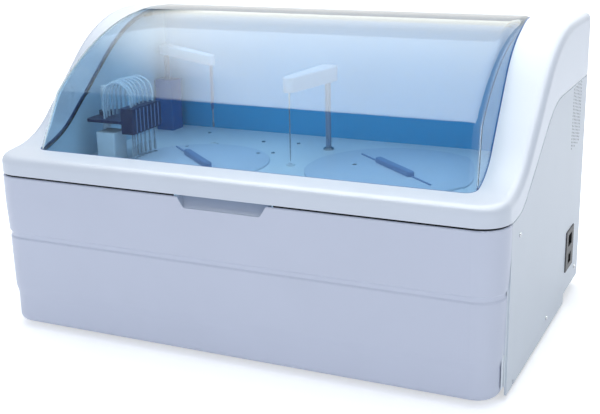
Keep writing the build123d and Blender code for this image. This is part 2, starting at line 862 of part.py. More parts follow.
def make_side_panel():
    """Right-hand side panel, before its openings."""
    half = WIDTH / 2
    start = PANEL_SEAM_Y + PANEL_GAP
    plan = [
        (half, start, 0),
        (half, DEPTH, REAR_CORNER_R),
        (half - REAR_CORNER_R - CORNER_LAP, DEPTH, 0),
        (half - REAR_CORNER_R - CORNER_LAP, DEPTH - WALL, 0),
        (half - WALL, DEPTH - WALL, REAR_CORNER_R - WALL),
        (half - WALL, start, 0),
    ]
    near, far = seam_line(SEAM_GAP)
    side = [
        (0, 0, 0),
        (SIDE_STEP_Y, 0, 0),
        (SIDE_STEP_Y + SIDE_STEP_RUN, SIDE_STEP, 0),
        (DEPTH, SIDE_STEP, 0),
        (DEPTH, SEAM_REAR - SEAM_GAP, 0),
        (far[0], far[1], far[2]),
        (near[0], near[1], near[2]),
        (0, SEAM_FRONT - SEAM_GAP, 0),
    ]
    sheet = extrude(face_of(plan), HEIGHT)
    panel = sheet & extrude(face_of(side, Plane.YZ), WIDTH)
    return panel - block(half - WALL - 1, half + 1, NOTCH_Y, NOTCH_Y + NOTCH_W, -1, NOTCH_H)


def make_rear_panel():
    """Rear sheet with the fan grille, the hose holes and an air inlet."""
    half = WIDTH / 2 - REAR_CORNER_R - CORNER_LAP - PANEL_GAP
    high = SEAM_REAR - SEAM_GAP
    inside, outside = DEPTH - SHEET_T - 1, DEPTH + 1
    sheet = block(-half, half, DEPTH - SHEET_T, DEPTH, SIDE_STEP, high)
    cuts = []
    for ring in range(GRILLE_RINGS):
        count = 4 * (ring + 1)
        for i in range(count):
            radius = GRILLE_FIRST_R + ring * GRILLE_PITCH
            x, z = polar(FAN_X, FAN_Z, radius, 360 * i / count)
            cuts.append(along_y(x, z, inside, outside, GRILLE_HOLE_R))
    for x in PORT_X:
        cuts.append(along_y(x, PORT_Z, inside, outside, PORT_R + PORT_HOLE_GAP))
    for row in range(AIR_SLOTS):
        z = DECK_Z - AIR_SLOT_DROP + row * AIR_SLOT_PITCH
        cuts.append(block(*AIR_SLOT_X, inside, outside, z, z + AIR_SLOT_H))
    return sheet - cuts


def make_tray():
    """Folded steel tray that closes the base from below."""
    outline = case_plan(TRAY_INSET)
    low = Pos(0, 0, TRAY_Z) * face_of(outline)
    inner = Pos(0, 0, TRAY_TOP) * face_of(inset(outline, TRAY_T))
    tray = extrude(low, TRAY_FLANGE) - extrude(inner, TRAY_FLANGE)
    slots = []
    for row in range(TRAY_SLOTS):
        y = TRAY_SLOT_Y + row * TRAY_SLOT_PITCH
        slots.append(block(-TRAY_SLOT_HALF, TRAY_SLOT_HALF, y, y + TRAY_SLOT_W, 0, TRAY_TOP + 1))
    return tray - slots


def foot_places():
    """Centres of the four feet."""
    places = []
    for x in (-FOOT_X, FOOT_X):
        for y in (FOOT_FRONT_Y, FOOT_REAR_Y):
            places.append((x, y))
    return places


def make_feet():
    """Rubber feet under the tray."""
    feet = []
    for x, y in foot_places():
        body = upright(x, y, -FOOT_GAP, TRAY_Z, FOOT_R)
        feet.append(chamfer(body.edges().sort_by(Axis.Z)[0], FOOT_EDGE))
    return feet


def make_frame():
    """Welded frame of square tube that carries the deck and the rear panel."""
    low, high = TRAY_TOP, DECK_UNDER
    half = RAIL / 2
    front, rear = POST_FRONT_Y - half, POST_REAR_Y + half
    bars = []
    for x in (-RAIL_X, RAIL_X):
        left, right = x - half, x + half
        bars.append(block(left, right, front, front + RAIL, low, high))
        bars.append(block(left, right, rear - RAIL, rear, low, REAR_RAIL_TOP))
        bars.append(block(left, right, front, rear, high - RAIL, high))
        bars.append(block(left, right, front, rear, low, low + RAIL))
    for y, top in ((POST_FRONT_Y, low + RAIL), (POST_REAR_Y, high), (POST_REAR_Y, REAR_RAIL_TOP)):
        bars.append(block(-RAIL_X, RAIL_X, y - half, y + half, top - RAIL, top))
    inner = TRAY_INSET + TRAY_T + RUNNING
    limit = extrude(face_of(case_plan(inner)), HEIGHT)
    return fuse(bars) & limit


def needle_point(turn):
    """Plan point of the probe needle after a turn towards the reaction side."""
    return polar(PROBE_X, PROBE_Y, PROBE_REACH, PROBE_REST_ANGLE - turn)


def paddle_point(turn):
    """Plan point of the mixer paddle after a turn."""
    return polar(MIXER_X, MIXER_Y, MIXER_REACH, MIXER_REST_ANGLE - turn)


def nozzle_points():
    """Plan points of the wash nozzles, each above one cuvette."""
    step = 360 / CUVETTES
    first = 180 - step * (NOZZLES - 1) / 2
    return [
        polar(REACTION_X, REACTION_Y, CUVETTE_RING_R, first + step * i) for i in range(NOZZLES)
    ]


def make_deck():
    """Deck plate with a raised rim and its openings."""
    gap = WALL + PANEL_GAP
    outline = case_plan(gap)
    plate = extrude(Pos(0, 0, DECK_UNDER) * face_of(outline), DECK_T)
    rim = extrude(Pos(0, 0, DECK_Z) * face_of(outline), DECK_RIM)
    rim = rim - extrude(Pos(0, 0, DECK_Z) * face_of(inset(outline, WALL)), DECK_RIM)
    deck = (plate + rim) - block(-WIDTH, WIDTH, DECK_REAR_Y, DEPTH + 10, 0, HEIGHT)
    low, high = DECK_UNDER - 1, DECK_Z + DECK_RIM + 1
    recess = RECESS_TOP_HALF + RECESS_ROOM
    holes = [
        upright(REACTION_X, REACTION_Y, low, high, REACTION_COVER_R - COVER_LAP),
        upright(REAGENT_X, REAGENT_Y, low, high, POT_R - POT_WALL),
        upright(PROBE_X, PROBE_Y, low, high, PROBE_SHAFT_R + BUSH_T),
        upright(MIXER_X, MIXER_Y, low, high, PROBE_SHAFT_R + BUSH_T),
        upright(*needle_point(0), low, high, WELL_R),
        upright(*paddle_point(0), low, high, WELL_R),
        upright(WASH_ROD_X, REACTION_Y, low, high, WASH_ROD_R),
        block(-recess, recess, 0, RECESS_DEPTH + SHEET_T, low, high),
    ]
    return deck - holes


def make_chamber():
    """Back wall and side cheeks that close the working chamber."""
    high, rear = CHAMBER_TOP, CHAMBER_REAR_Y
    half = CHAMBER_HALF - SHEET_T
    outer = block(
        -CHAMBER_HALF, CHAMBER_HALF, CHAMBER_FRONT_Y, rear + SHEET_T, DECK_Z, high
    )
    inner = block(-half, half, 0, rear, DECK_Z - 1, high + 1)
    depth = WALL + GASKET_T + FLANGE_T + CHAMBER_CLEAR
    room = extrude(face_of(lid_profile(depth, LID_SKIRT), Plane.YZ), WIDTH, both=True)
    return (outer - inner) & room


def cover_grip(x, y):
    """Raised rib and grip across a round cover."""
    low = DECK_Z + COVER_T
    rib = Box(RIB_L, RIB_W, RIB_H)
    rib = Pos(x, y, low + RIB_H / 2) * Rot(0, 0, GRIP_ANGLE) * rib
    grip = fillet(Box(GRIP_L, GRIP_W, GRIP_H).edges().filter_by(Axis.Z), GRIP_END_R)
    grip = fillet(grip.edges().sort_by(Axis.Z)[-1], GRIP_EDGE_R)
    grip = Pos(x, y, low + GRIP_H / 2) * Rot(0, 0, GRIP_ANGLE) * grip
    return rib + grip


def make_reaction_cover():
    """Fixed cover over the cuvette ring, with access for probe, mixer and nozzles."""
    low, high = DECK_Z, DECK_Z + COVER_T
    plate = upright(REACTION_X, REACTION_Y, low, high, REACTION_COVER_R)
    plate = chamfer(plate.edges().sort_by(Axis.Z)[-1], COVER_EDGE)
    places = nozzle_points() + [needle_point(PROBE_REACTION_TURN), paddle_point(MIXER_TURN)]
    cuts = [upright(x, y, low - 1, high + 1, ACCESS_R) for x, y in places]
    return (plate - cuts) + cover_grip(REACTION_X, REACTION_Y)


def make_reagent_cover():
    """Lift-off cover of the cooled reagent pot."""
    low, high = DECK_Z, DECK_Z + COVER_T
    plate = upright(REAGENT_X, REAGENT_Y, low, high, REAGENT_COVER_R)
    plate = chamfer(plate.edges().sort_by(Axis.Z)[-1], COVER_EDGE)
    radius = POT_R - POT_WALL - SPIGOT_GAP
    spigot = upright(REAGENT_X, REAGENT_Y, low - SPIGOT_H, low, radius)
    spigot = spigot - upright(REAGENT_X, REAGENT_Y, low - SPIGOT_H - 1, low, radius - SPIGOT_T)
    x, y = needle_point(-PROBE_REAGENT_TURN)
    hole = upright(x, y, low - 1, high + 1, ACCESS_R)
    return (plate - hole) + spigot + cover_grip(REAGENT_X, REAGENT_Y)


def make_cuvettes():
    """Ring of open square cuvettes."""
    bore = CUVETTE_W - 2 * CUVETTE_WALL
    cup = Box(CUVETTE_W, CUVETTE_W, CUVETTE_H)
    cup = cup - Pos(0, 0, CUVETTE_WALL) * Box(bore, bore, CUVETTE_H)
    ring = []
    for i in range(CUVETTES):
        angle = 360 * i / CUVETTES
        x, y = polar(REACTION_X, REACTION_Y, CUVETTE_RING_R, angle)
        ring.append(Pos(x, y, CUVETTE_TOP - CUVETTE_H / 2) * Rot(0, 0, angle) * cup)
    return ring


def make_reaction_disk():
    """Disk, spindle and driven pulley of the reaction turntable."""
    top = CUVETTE_TOP - CUVETTE_PROUD
    radius = CUVETTE_RING_R + CUVETTE_W / 2 + DISK_EDGE
    plate = upright(REACTION_X, REACTION_Y, top - DISK_T, top, radius)
    slots = []
    for i in range(CUVETTES):
        angle = 360 * i / CUVETTES
        x, y = polar(REACTION_X, REACTION_Y, CUVETTE_RING_R, angle)
        slot = Box(CUVETTE_W, CUVETTE_W, 4 * DISK_T)
        slots.append(Pos(x, y, top) * Rot(0, 0, angle) * slot)
    return (plate - slots) + spindle(REACTION_X, REACTION_Y, top - DISK_T)


def spindle(x, y, top):
    """Turntable spindle with its collar and driven pulley."""
    shaft = upright(x, y, TRAY_TOP + STANDOFF, top, SPINDLE_R)
    collar = upright(x, y, top - SPINDLE_COLLAR, top, SPINDLE_R + SPINDLE_COLLAR)
    pulley = upright(x, y, PULLEY_Z, PULLEY_Z + PULLEY_T, DRIVE_PULLEY_R)
    return shaft + collar + pulley


def make_spindle_housings():
    """Bearing housings that stand on the tray and hold the two spindles."""
    housings = []
    for x, y in ((REACTION_X, REACTION_Y), (REAGENT_X, REAGENT_Y)):
        low = TRAY_TOP
        body = upright(x, y, low, MOTOR_TOP, HOUSING_R)
        foot = upright(x, y, low, low + HOUSING_FOOT_H, HOUSING_R + HOUSING_FOOT)
        bore = upright(x, y, low + STANDOFF - RUNNING, PULLEY_Z, SPINDLE_R + RUNNING)
        housings.append((body + foot) - bore)
    return housings


def motor_place(x, y, side):
    """Plan point of the motor beside a turntable."""
    return x + side * DRIVE_SPACING, y


def make_motors():
    """Stepper motors of both turntables, on their stands."""
    motors = []
    for x, y, side in ((REACTION_X, REACTION_Y, 1), (REAGENT_X, REAGENT_Y, -1)):
        mx, my = motor_place(x, y, side)
        low = MOTOR_TOP - MOTOR_H
        body = Pos(mx, my, low + MOTOR_H / 2) * Box(MOTOR_W, MOTOR_W, MOTOR_H)
        body = chamfer(body.edges().filter_by(Axis.Z), MOTOR_EDGE)
        stand = Pos(mx, my, TRAY_TOP + STAND_H / 2) * Box(STAND_W, STAND_W, STAND_H)
        floor = low + MOTOR_BORE_FLOOR - RUNNING
        bore = upright(mx, my, floor, MOTOR_TOP + 1, MOTOR_SHAFT_R + RUNNING)
        motors.append(body + stand - bore)
    return motors


def make_motor_pulley(x, y, side):
    """Motor shaft with its toothless pulley."""
    mx, my = motor_place(x, y, side)
    low, high = MOTOR_TOP - MOTOR_H + MOTOR_BORE_FLOOR, PULLEY_Z + PULLEY_T
    shaft = upright(mx, my, low, high + SHAFT_PROUD, MOTOR_SHAFT_R)
    return shaft + upright(mx, my, PULLEY_Z, high, MOTOR_PULLEY_R)


def loop_face(x, y, side, growth):
    """Face inside a belt line round a turntable pulley and a motor pulley."""
    mx, my = motor_place(x, y, side)
    big, small = DRIVE_PULLEY_R + growth, MOTOR_PULLEY_R + growth
    lean = math.degrees(math.asin((big - small) / DRIVE_SPACING))
    ahead = 0 if side > 0 else 180
    points = []
    for cx, cy, radius, turn in ((x, y, big, 90 - lean), (mx, my, small, 90 - lean)):
        points.append(polar(cx, cy, radius, ahead + turn))
        points.append(polar(cx, cy, radius, ahead - turn))
    band = make_face(Polyline(points[0], points[2], points[3], points[1], close=True))
    return Pos(x, y) * Circle(big) + Pos(mx, my) * Circle(small) + band


def make_belts():
    """Flat loops of the two turntable belts."""
    belts = []
    for x, y, side in ((REACTION_X, REACTION_Y, 1), (REAGENT_X, REAGENT_Y, -1)):
        ring = loop_face(x, y, side, BELT_CLEAR + BELT_T) - loop_face(x, y, side, BELT_CLEAR)
        belts.append(extrude(Pos(0, 0, PULLEY_Z + BELT_EDGE) * ring, PULLEY_T - 2 * BELT_EDGE))
    return belts


def make_bath():
    """Heated ring channel round the cuvettes, hung from the deck."""
    x, y = REACTION_X, REACTION_Y
    inner = CUVETTE_RING_R - CUVETTE_W - BATH_ROOM
    low, high = BATH_LOW, DECK_UNDER
    inner_top = CUVETTE_TOP - CUVETTE_PROUD - DISK_T - BATH_CLEAR
    ring = upright(x, y, low, high, BATH_R) - upright(x, y, low - 1, high + 1, inner)
    channel = upright(x, y, low + BATH_T, high + 1, REACTION_COVER_R - COVER_LAP)
    channel = channel - upright(x, y, low, high + 1, inner + BATH_INNER_WALL)
    plain = upright(x, y, inner_top, high + 1, inner + BATH_INNER_WALL + 1)
    return ring - channel - plain


def make_pot():
    """Cooled pot that holds the reagent turntable."""
    high = DECK_UNDER
    pot = upright(REAGENT_X, REAGENT_Y, POT_FLOOR - POT_WALL, high, POT_R)
    pot = pot - upright(REAGENT_X, REAGENT_Y, POT_FLOOR, high + 1, POT_R - POT_WALL)
    return pot - upright(REAGENT_X, REAGENT_Y, 0, high, SPINDLE_R + SPINDLE_COLLAR + POT_HOLE_GAP)


def make_reagent_disk():
    """Carrier plate, spindle and driven pulley of the reagent turntable."""
    low = POT_FLOOR + CARRIER_UP
    plate = upright(REAGENT_X, REAGENT_Y, low, CARRIER_TOP, POT_R - POT_WALL - CARRIER_GAP)
    return plate + spindle(REAGENT_X, REAGENT_Y, low)


def make_bottles():
    """Ring of capless reagent bottles."""
    ring = []
    shape = Box(BOTTLE_L, BOTTLE_W, BOTTLE_H)
    shape = fillet(shape.edges().filter_by(Axis.Z), BOTTLE_R)
    bore = Box(BOTTLE_L - 2 * BOTTLE_WALL, BOTTLE_W - 2 * BOTTLE_WALL, BOTTLE_H)
    shape = shape - Pos(0, 0, BOTTLE_WALL) * bore
    for i in range(BOTTLES):
        angle = 360 * i / BOTTLES
        x, y = polar(REAGENT_X, REAGENT_Y, BOTTLE_RING_R, angle)
        ring.append(Pos(x, y, CARRIER_TOP + BOTTLE_H / 2) * Rot(0, 0, angle) * shape)
    return ring


def make_cups():
    """Inner ring of sample cups, one under the probe's reagent position."""
    x, y = needle_point(-PROBE_REAGENT_TURN)
    first = math.degrees(math.atan2(y - REAGENT_Y, x - REAGENT_X))
    ring = []
    for i in range(CUPS):
        px, py = polar(REAGENT_X, REAGENT_Y, CUP_RING_R, first + 360 * i / CUPS)
        low, high = CARRIER_TOP, CARRIER_TOP + CUP_H
        cup = upright(px, py, low, high, CUP_R)
        ring.append(cup - upright(px, py, low + CUP_WALL, high + 1, CUP_R - CUP_WALL))
    return ring


def guide_column(x, y):
    """Bush in the deck and its rail below, for a lifting shaft."""
    high = DECK_Z + BUSH_PROUD
    bush = upright(x, y, DECK_UNDER, high, PROBE_SHAFT_R + BUSH_T)
    head = upright(x, y, DECK_Z, DECK_Z + BUSH_T, PROBE_SHAFT_R + BUSH_FLANGE)
    bore = upright(x, y, 0, high + 1, PROBE_SHAFT_R + RUNNING)
    return bush + head - bore


def lift_rail(x, y):
    """Upright rail behind a lifting shaft, from the tray to the deck."""
    low, high = TRAY_TOP, DECK_UNDER
    front, rear = y + LIFT_RAIL_BACK, y + LIFT_RAIL_BACK + LIFT_RAIL_T
    rail = block(x - LIFT_RAIL_HALF, x + LIFT_RAIL_HALF, front, rear, low, high)
    foot = block(
        x - LIFT_FOOT_HALF, x + LIFT_FOOT_HALF, y + LIFT_FOOT_FRONT, rear, low, low + LIFT_FOOT_T
    )
    return rail + foot


def lift_carriage(x, y):
    """Carriage that runs on a lift rail and holds the shaft's foot."""
    low, high = CARRIAGE_LOW, CARRIAGE_LOW + CARRIAGE_H
    rear = y + LIFT_RAIL_BACK - SLIDE_GAP
    plate = block(x - CARRIAGE_HALF, x + CARRIAGE_HALF, y - CARRIAGE_FRONT, rear, low, high)
    bore = upright(x, y, low + CARRIAGE_FLOOR, high + 1, PROBE_SHAFT_R + RUNNING)
    return plate - bore


def swing_arm(x, y, reach, angle, low, height, width, tip_width):
    """Arm cover from a shaft to a tip, rounded in plan and drawn in at the tip."""
    tip = Pos(reach, 0) * Circle(tip_width / 2)
    root = Circle(width / 2)
    web = make_face(
        Polyline(
            (0, -width / 2), (reach, -tip_width / 2), (reach, tip_width / 2), (0, width / 2),
            close=True,
        )
    )
    body = extrude(root + tip + web, height)
    body = fillet(body.edges().group_by(Axis.Z)[-1], ARM_EDGE)
    return Pos(x, y, low) * Rot(0, 0, angle) * body


def make_probe_arm():
    """Shaft and arm of the sample probe."""
    arm = swing_arm(
        PROBE_X, PROBE_Y, PROBE_REACH, PROBE_REST_ANGLE, ARM_Z, ARM_H, ARM_W, ARM_TIP_W
    )
    shaft = upright(PROBE_X, PROBE_Y, SHAFT_LOW, ARM_Z + ARM_SOCKET, PROBE_SHAFT_R)
    bore = upright(*needle_point(0), ARM_Z - 1, ARM_Z + NEEDLE_SOCKET, NEEDLE_R)
    return (arm + shaft) - bore


def make_needle():
    """Steel needle of the sample probe, drawn to a fine tip."""
    x, y = needle_point(0)
    shank = upright(x, y, NEEDLE_TIP + NEEDLE_POINT_H, ARM_Z + NEEDLE_SOCKET, NEEDLE_R)
    tip = Cone(NEEDLE_POINT_R, NEEDLE_R, NEEDLE_POINT_H)
    tip = Pos(x, y, NEEDLE_TIP + NEEDLE_POINT_H / 2) * tip
    return shank + tip


def make_mixer_arm():
    """Shaft and arm of the mixer."""
    arm = swing_arm(
        MIXER_X, MIXER_Y, MIXER_REACH, MIXER_REST_ANGLE, MIXER_ARM_Z,
        MIXER_ARM_H, MIXER_ARM_W, MIXER_ARM_TIP_W,
    )
    shaft = upright(MIXER_X, MIXER_Y, SHAFT_LOW, MIXER_ARM_Z + ARM_SOCKET, PROBE_SHAFT_R)
    x, y = paddle_point(0)
    low, high = MIXER_TIP + SLEEVE_UP, MIXER_ARM_Z + PADDLE_ROD_SOCKET
    sleeve = upright(x, y, low, MIXER_ARM_Z, SLEEVE_R)
    bore = upright(x, y, low - 1, high + RUNNING, PADDLE_ROD_R + RUNNING)
    return arm + shaft + sleeve - bore


def make_paddle():
    """Mixer rod with its flat paddle."""
    x, y = paddle_point(0)
    low, high = MIXER_TIP + BLADE_H - PADDLE_ROD_R, MIXER_ARM_Z + PADDLE_ROD_SOCKET
    rod = upright(x, y, low, high, PADDLE_ROD_R)
    return rod + Pos(x, y, MIXER_TIP + BLADE_H / 2) * Box(BLADE_W, BLADE_T, BLADE_H)


def make_mixer_tower():
    """Housing round the mixer's lift, standing on the deck."""
    height = MIXER_ARM_Z - MIXER_DIP - TOWER_GAP - DECK_Z
    bore = TOWER_W - 2 * TOWER_WALL
    body = fillet(Box(TOWER_W, TOWER_W, height).edges().filter_by(Axis.Z), TOWER_WALL)
    core = Pos(0, 0, -TOWER_WALL) * Box(bore, bore, height)
    hole = Cylinder(PROBE_SHAFT_R + 1, height + 2)
    return Pos(MIXER_X, MIXER_Y, DECK_Z + height / 2) * (body - core - hole)


def make_wash_tower():
    """Tower that the wash arm comes down to."""
    left, front = WASH_TOWER_SIDE - CHAMBER_HALF, REACTION_Y - WASH_TOWER_FRONT
    high = WASH_ARM_Z - WASH_DIP - WASH_STOP_GAP
    body = block(left, left + WASH_TOWER_W, front, front + WASH_TOWER_L, DECK_Z, high)
    return fillet(body.edges().filter_by(Axis.Z), WASH_TOWER_R)


def make_wash_rod():
    """Guide rod of the wash head, screwed to the deck."""
    rod = upright(WASH_ROD_X, REACTION_Y, DECK_UNDER, DECK_Z + WASH_ROD_H, WASH_ROD_R)
    return chamfer(rod.edges().sort_by(Axis.Z)[-1], 1)


def wash_block_x():
    """Middle of the nozzle row."""
    xs = [x for x, _ in nozzle_points()]
    return (min(xs) + max(xs)) / 2


def make_wash_head():
    """Arm plate and nozzle block of the wash station."""
    middle = wash_block_x()
    front, rear = REACTION_Y - WASH_BLOCK_L / 2, REACTION_Y + WASH_BLOCK_L / 2
    left, right = middle - WASH_BLOCK_W / 2, middle + WASH_BLOCK_W / 2
    body = block(left, right, front, rear, WASH_BLOCK_Z, WASH_BLOCK_TOP)
    body = fillet(body.edges().filter_by(Axis.Z), WASH_BLOCK_R)
    end = WASH_ROD_X - WASH_ARM_END
    plate = block(end, middle, front, rear, WASH_ARM_Z, WASH_ARM_Z + WASH_ARM_T)
    plate = fillet(plate.edges().filter_by(Axis.Z).group_by(Axis.X)[0], WASH_ARM_R)
    low, high = WASH_ARM_Z - WASH_HUB_DOWN, WASH_ARM_Z + WASH_HUB_UP
    hub = upright(WASH_ROD_X, REACTION_Y, low, high, WASH_ROD_R + WASH_HUB_T)
    cuts = [upright(WASH_ROD_X, REACTION_Y, 0, HEIGHT, WASH_ROD_R + RUNNING)]
    for x, y in nozzle_points():
        cuts.append(upright(x, y, WASH_BLOCK_Z - 1, WASH_BLOCK_TOP + 1, NOZZLE_R))
    return body + plate + hub - cuts


def make_nozzles():
    """Steel wash nozzles with thicker ends."""
    nozzles = []
    for x, y in nozzle_points():
        stem = upright(x, y, NEEDLE_TIP, WASH_BLOCK_TOP + NOZZLE_TOP, NOZZLE_R)
        foot = upright(x, y, NEEDLE_TIP + 1, NEEDLE_TIP + 1 + NOZZLE_FOOT_H, NOZZLE_FOOT_R)
        nozzles.append(stem + foot)
    return nozzles


def make_wash_tubes():
    """Clear tubes that arch from the nozzles to the arm plate."""
    tubes = []
    start = WASH_BLOCK_TOP + TUBE_SEAT
    turn = WASH_BLOCK_TOP + TUBE_RISE
    for x, y in nozzle_points():
        far = x - 2 * TUBE_ARCH_R
        line = Line((x, y, start), (x, y, turn))
        arch = ThreePointArc(
            (x, y, turn), (x - TUBE_ARCH_R, y, turn + TUBE_ARCH_R), (far, y, turn)
        )
        down = Line((far, y, turn), (far, y, WASH_ARM_Z + WASH_ARM_T))
        path = Wire([line, arch, down])
        outer = sweep(Pos(x, y, start) * Circle(TUBE_R), path)
        bore = sweep(Pos(x, y, start) * Circle(NOZZLE_R), path)
        tubes.append(outer - bore)
    return tubes


def make_wells():
    """Rinse wells of the probe and the mixer, set in the deck."""
    wells = []
    for x, y in (needle_point(0), paddle_point(0)):
        low, high = DECK_Z - WELL_DEPTH, DECK_Z + WELL_RING_H
        ring = upright(x, y, DECK_Z, high, WELL_RING_R)
        body = upright(x, y, low, DECK_Z, WELL_R)
        wells.append(ring + body - upright(x, y, low + WELL_FLOOR, high + 1, WELL_BORE_R))
    return wells


def make_photometer():
    """Light path block beside the cuvette ring, under the deck."""
    right, half = REACTION_X - BATH_R + PHOTOMETER_IN, PHOTOMETER_L / 2
    left, high = right - PHOTOMETER_W, BATH_LOW + PHOTOMETER_LAP
    low = high - PHOTOMETER_H
    body = block(left, right, REACTION_Y - half, REACTION_Y + half, low, high)
    body = body - upright(REACTION_X, REACTION_Y, low - 1, high + 1, BATH_R)
    middle, rear = (left + right - PHOTOMETER_IN) / 2, REACTION_Y + half
    return body + along_y(middle, (low + high) / 2, rear, rear + LAMP_L, LAMP_R)


def make_syringe():
    """Dosing pump body with its glass barrel."""
    x, y = SYRINGE_X, SYRINGE_Y
    low, high = BARREL_LOW, BARREL_LOW + BARREL_H
    top, rear, half = high + PUMP_HEAD_H, y + PUMP_GAP, SYRINGE_BACK_W / 2
    pieces = [
        block(x - half, x + half, rear, rear + SYRINGE_BACK_T, TRAY_TOP, top),
        block(x - PUMP_HEAD_HALF, x + PUMP_HEAD_HALF, y - PUMP_HEAD_FRONT, rear, high, top),
        block(x - CLAMP_HALF, x + CLAMP_HALF, y - PUMP_GAP, rear, low, low + CLAMP_H),
        upright(x, y, low, high, BARREL_R),
    ]
    return fuse(pieces) - upright(x, y, low - 1, high - BARREL_CAP, BARREL_R - BARREL_WALL)


def make_plunger():
    """Plunger rod and its drive yoke."""
    x, y = SYRINGE_X, SYRINGE_Y
    high, seal_low = BARREL_LOW - YOKE_DROP, BARREL_LOW + SEAL_UP
    rod = upright(x, y, high, seal_low, PLUNGER_R)
    seal = upright(x, y, seal_low, seal_low + SEAL_H, BARREL_R - BARREL_WALL - RUNNING)
    rear = y + PUMP_GAP - SLIDE_GAP
    yoke = block(x - YOKE_HALF, x + YOKE_HALF, y - PUMP_GAP, rear, high - YOKE_H, high)
    return rod + seal + yoke


def make_power_supply():
    """Boxed power supply."""
    rear = DEPTH - SUPPLY_BACK
    front, edge = rear - SUPPLY_L, SUPPLY_SLOT_EDGE
    low, high = TRAY_TOP, TRAY_TOP + SUPPLY_H
    slots = []
    for i in range(SUPPLY_SLOTS):
        x = SUPPLY_X[0] + edge + i * SUPPLY_SLOT_PITCH
        deep = front + SUPPLY_SLOT_DEPTH
        slots.append(block(x, x + SUPPLY_SLOT_W, front - 1, deep, low + edge, high - edge))
    return block(*SUPPLY_X, front, rear, low, high) - slots


def make_control_board():
    """Control board on its pillars, with its larger components."""
    low = TRAY_TOP + BOARD_UP
    top = low + BOARD_T
    parts = [block(0, BOARD_L, 0, BOARD_W, low, top)]
    for x in (PILLAR_IN, BOARD_L - PILLAR_IN):
        for y in (PILLAR_IN, BOARD_W - PILLAR_IN):
            parts.append(upright(x, y, TRAY_TOP, low, PILLAR_R))
    for x, y, length, width, height in BOARD_PARTS:
        parts.append(block(x, x + length, y, y + width, top, top + height))
    return Pos(BOARD_X, BOARD_Y, 0) * fuse(parts)


def make_pumps():
    """Row of vacuum and wash pumps on one plate."""
    low, rear = TRAY_TOP, DEPTH - PUMP_BACK
    front, left = rear - PUMP_PLATE_W, PUMP_PLATE_X
    high, half, z = low + PUMP_FOOT_H, PUMP_FOOT_HALF, low + PUMP_UP
    parts = [block(left, left + PUMP_PLATE_L, front, rear, low, low + PUMP_PLATE_T)]
    for i in range(PUMPS):
        x = left + PUMP_EDGE + i * PUMP_PITCH
        face = front + PUMP_SPOUT_L
        parts.append(along_y(x, z, face, rear - PUMP_SPOUT_L, PUMP_R))
        parts.append(block(x - half, x + half, face, rear - PUMP_SPOUT_L, low, high))
        parts.append(along_y(x, z, front, face, PUMP_SPOUT_R))
    return fuse(parts)


def make_fan_frame():
    """Square fan frame behind the rear grille."""
    front, rear = DEPTH - SHEET_T - FAN_T, DEPTH - SHEET_T
    half = FAN_W / 2
    frame = block(FAN_X - half, FAN_X + half, front, rear, FAN_Z - half, FAN_Z + half)
    frame = frame - along_y(FAN_X, FAN_Z, front - 1, rear + 1, FAN_BORE_R)
    struts = [along_y(FAN_X, FAN_Z, front, front + FAN_CAGE_T, FAN_HUB_R)]
    for angle in (45, 135, 225, 315):
        arm = Pos(FAN_BORE_R / 2 + 1, 0, 0) * Box(FAN_BORE_R, FAN_CAGE_T, 2 * FAN_CAGE_T)
        struts.append(Pos(FAN_X, front + FAN_CAGE_T / 2, FAN_Z) * Rot(0, -angle, 0) * arm)
    pin = along_y(FAN_X, FAN_Z, front, front + FAN_PIN_L, FAN_PIN_R)
    return fuse([frame] + struts + [pin])


def make_fan_rotor():
    """Fan hub with its twisted blades."""
    cage = DEPTH - SHEET_T - FAN_T
    front, rear = cage + FAN_CAGE_T + 1, DEPTH - SHEET_T - FAN_CAGE_T
    rotor = along_y(FAN_X, FAN_Z, front, rear, FAN_HUB_R)
    middle, tip = (front + rear) / 2, FAN_BORE_R - FAN_TIP_GAP
    span = tip - FAN_HUB_R + 2
    for i in range(FAN_BLADES):
        blade = Rot(FAN_BLADE_TWIST, 0, 0) * Box(span, FAN_BLADE_T, FAN_BLADE_CHORD)
        blade = Pos(tip - span / 2, 0, 0) * blade
        rotor = rotor + Pos(FAN_X, middle, FAN_Z) * Rot(0, -360 * i / FAN_BLADES, 0) * blade
    rotor = rotor & along_y(FAN_X, FAN_Z, front, rear, tip)
    end = cage + FAN_PIN_L + RUNNING
    return rotor - along_y(FAN_X, FAN_Z, cage, end, FAN_PIN_R + RUNNING)


def make_ports():
    """Barbed hose ports of the rear panel."""
    ports = []
    inside = DEPTH - SHEET_T
    for x in PORT_X:
        parts = [
            along_y(x, PORT_Z, inside - PORT_INSIDE, DEPTH + PORT_PROUD, PORT_R),
            along_y(x, PORT_Z, DEPTH, DEPTH + PORT_FLANGE_T, PORT_R + PORT_FLANGE),
            along_y(x, PORT_Z, inside - PORT_NUT_T, inside, PORT_R + PORT_FLANGE),
        ]
        end = DEPTH + PORT_PROUD + 1
        bore = along_y(x, PORT_Z, inside - PORT_INSIDE - 1, end, PORT_R - PORT_WALL)
        ports.append(fuse(parts) - bore)
    return ports


def rocker_centre():
    """Middle of the power rocker's pivot."""
    return WIDTH / 2 - ROCKER_IN, INLET_Y, INLET_Z + ROCKER_UP


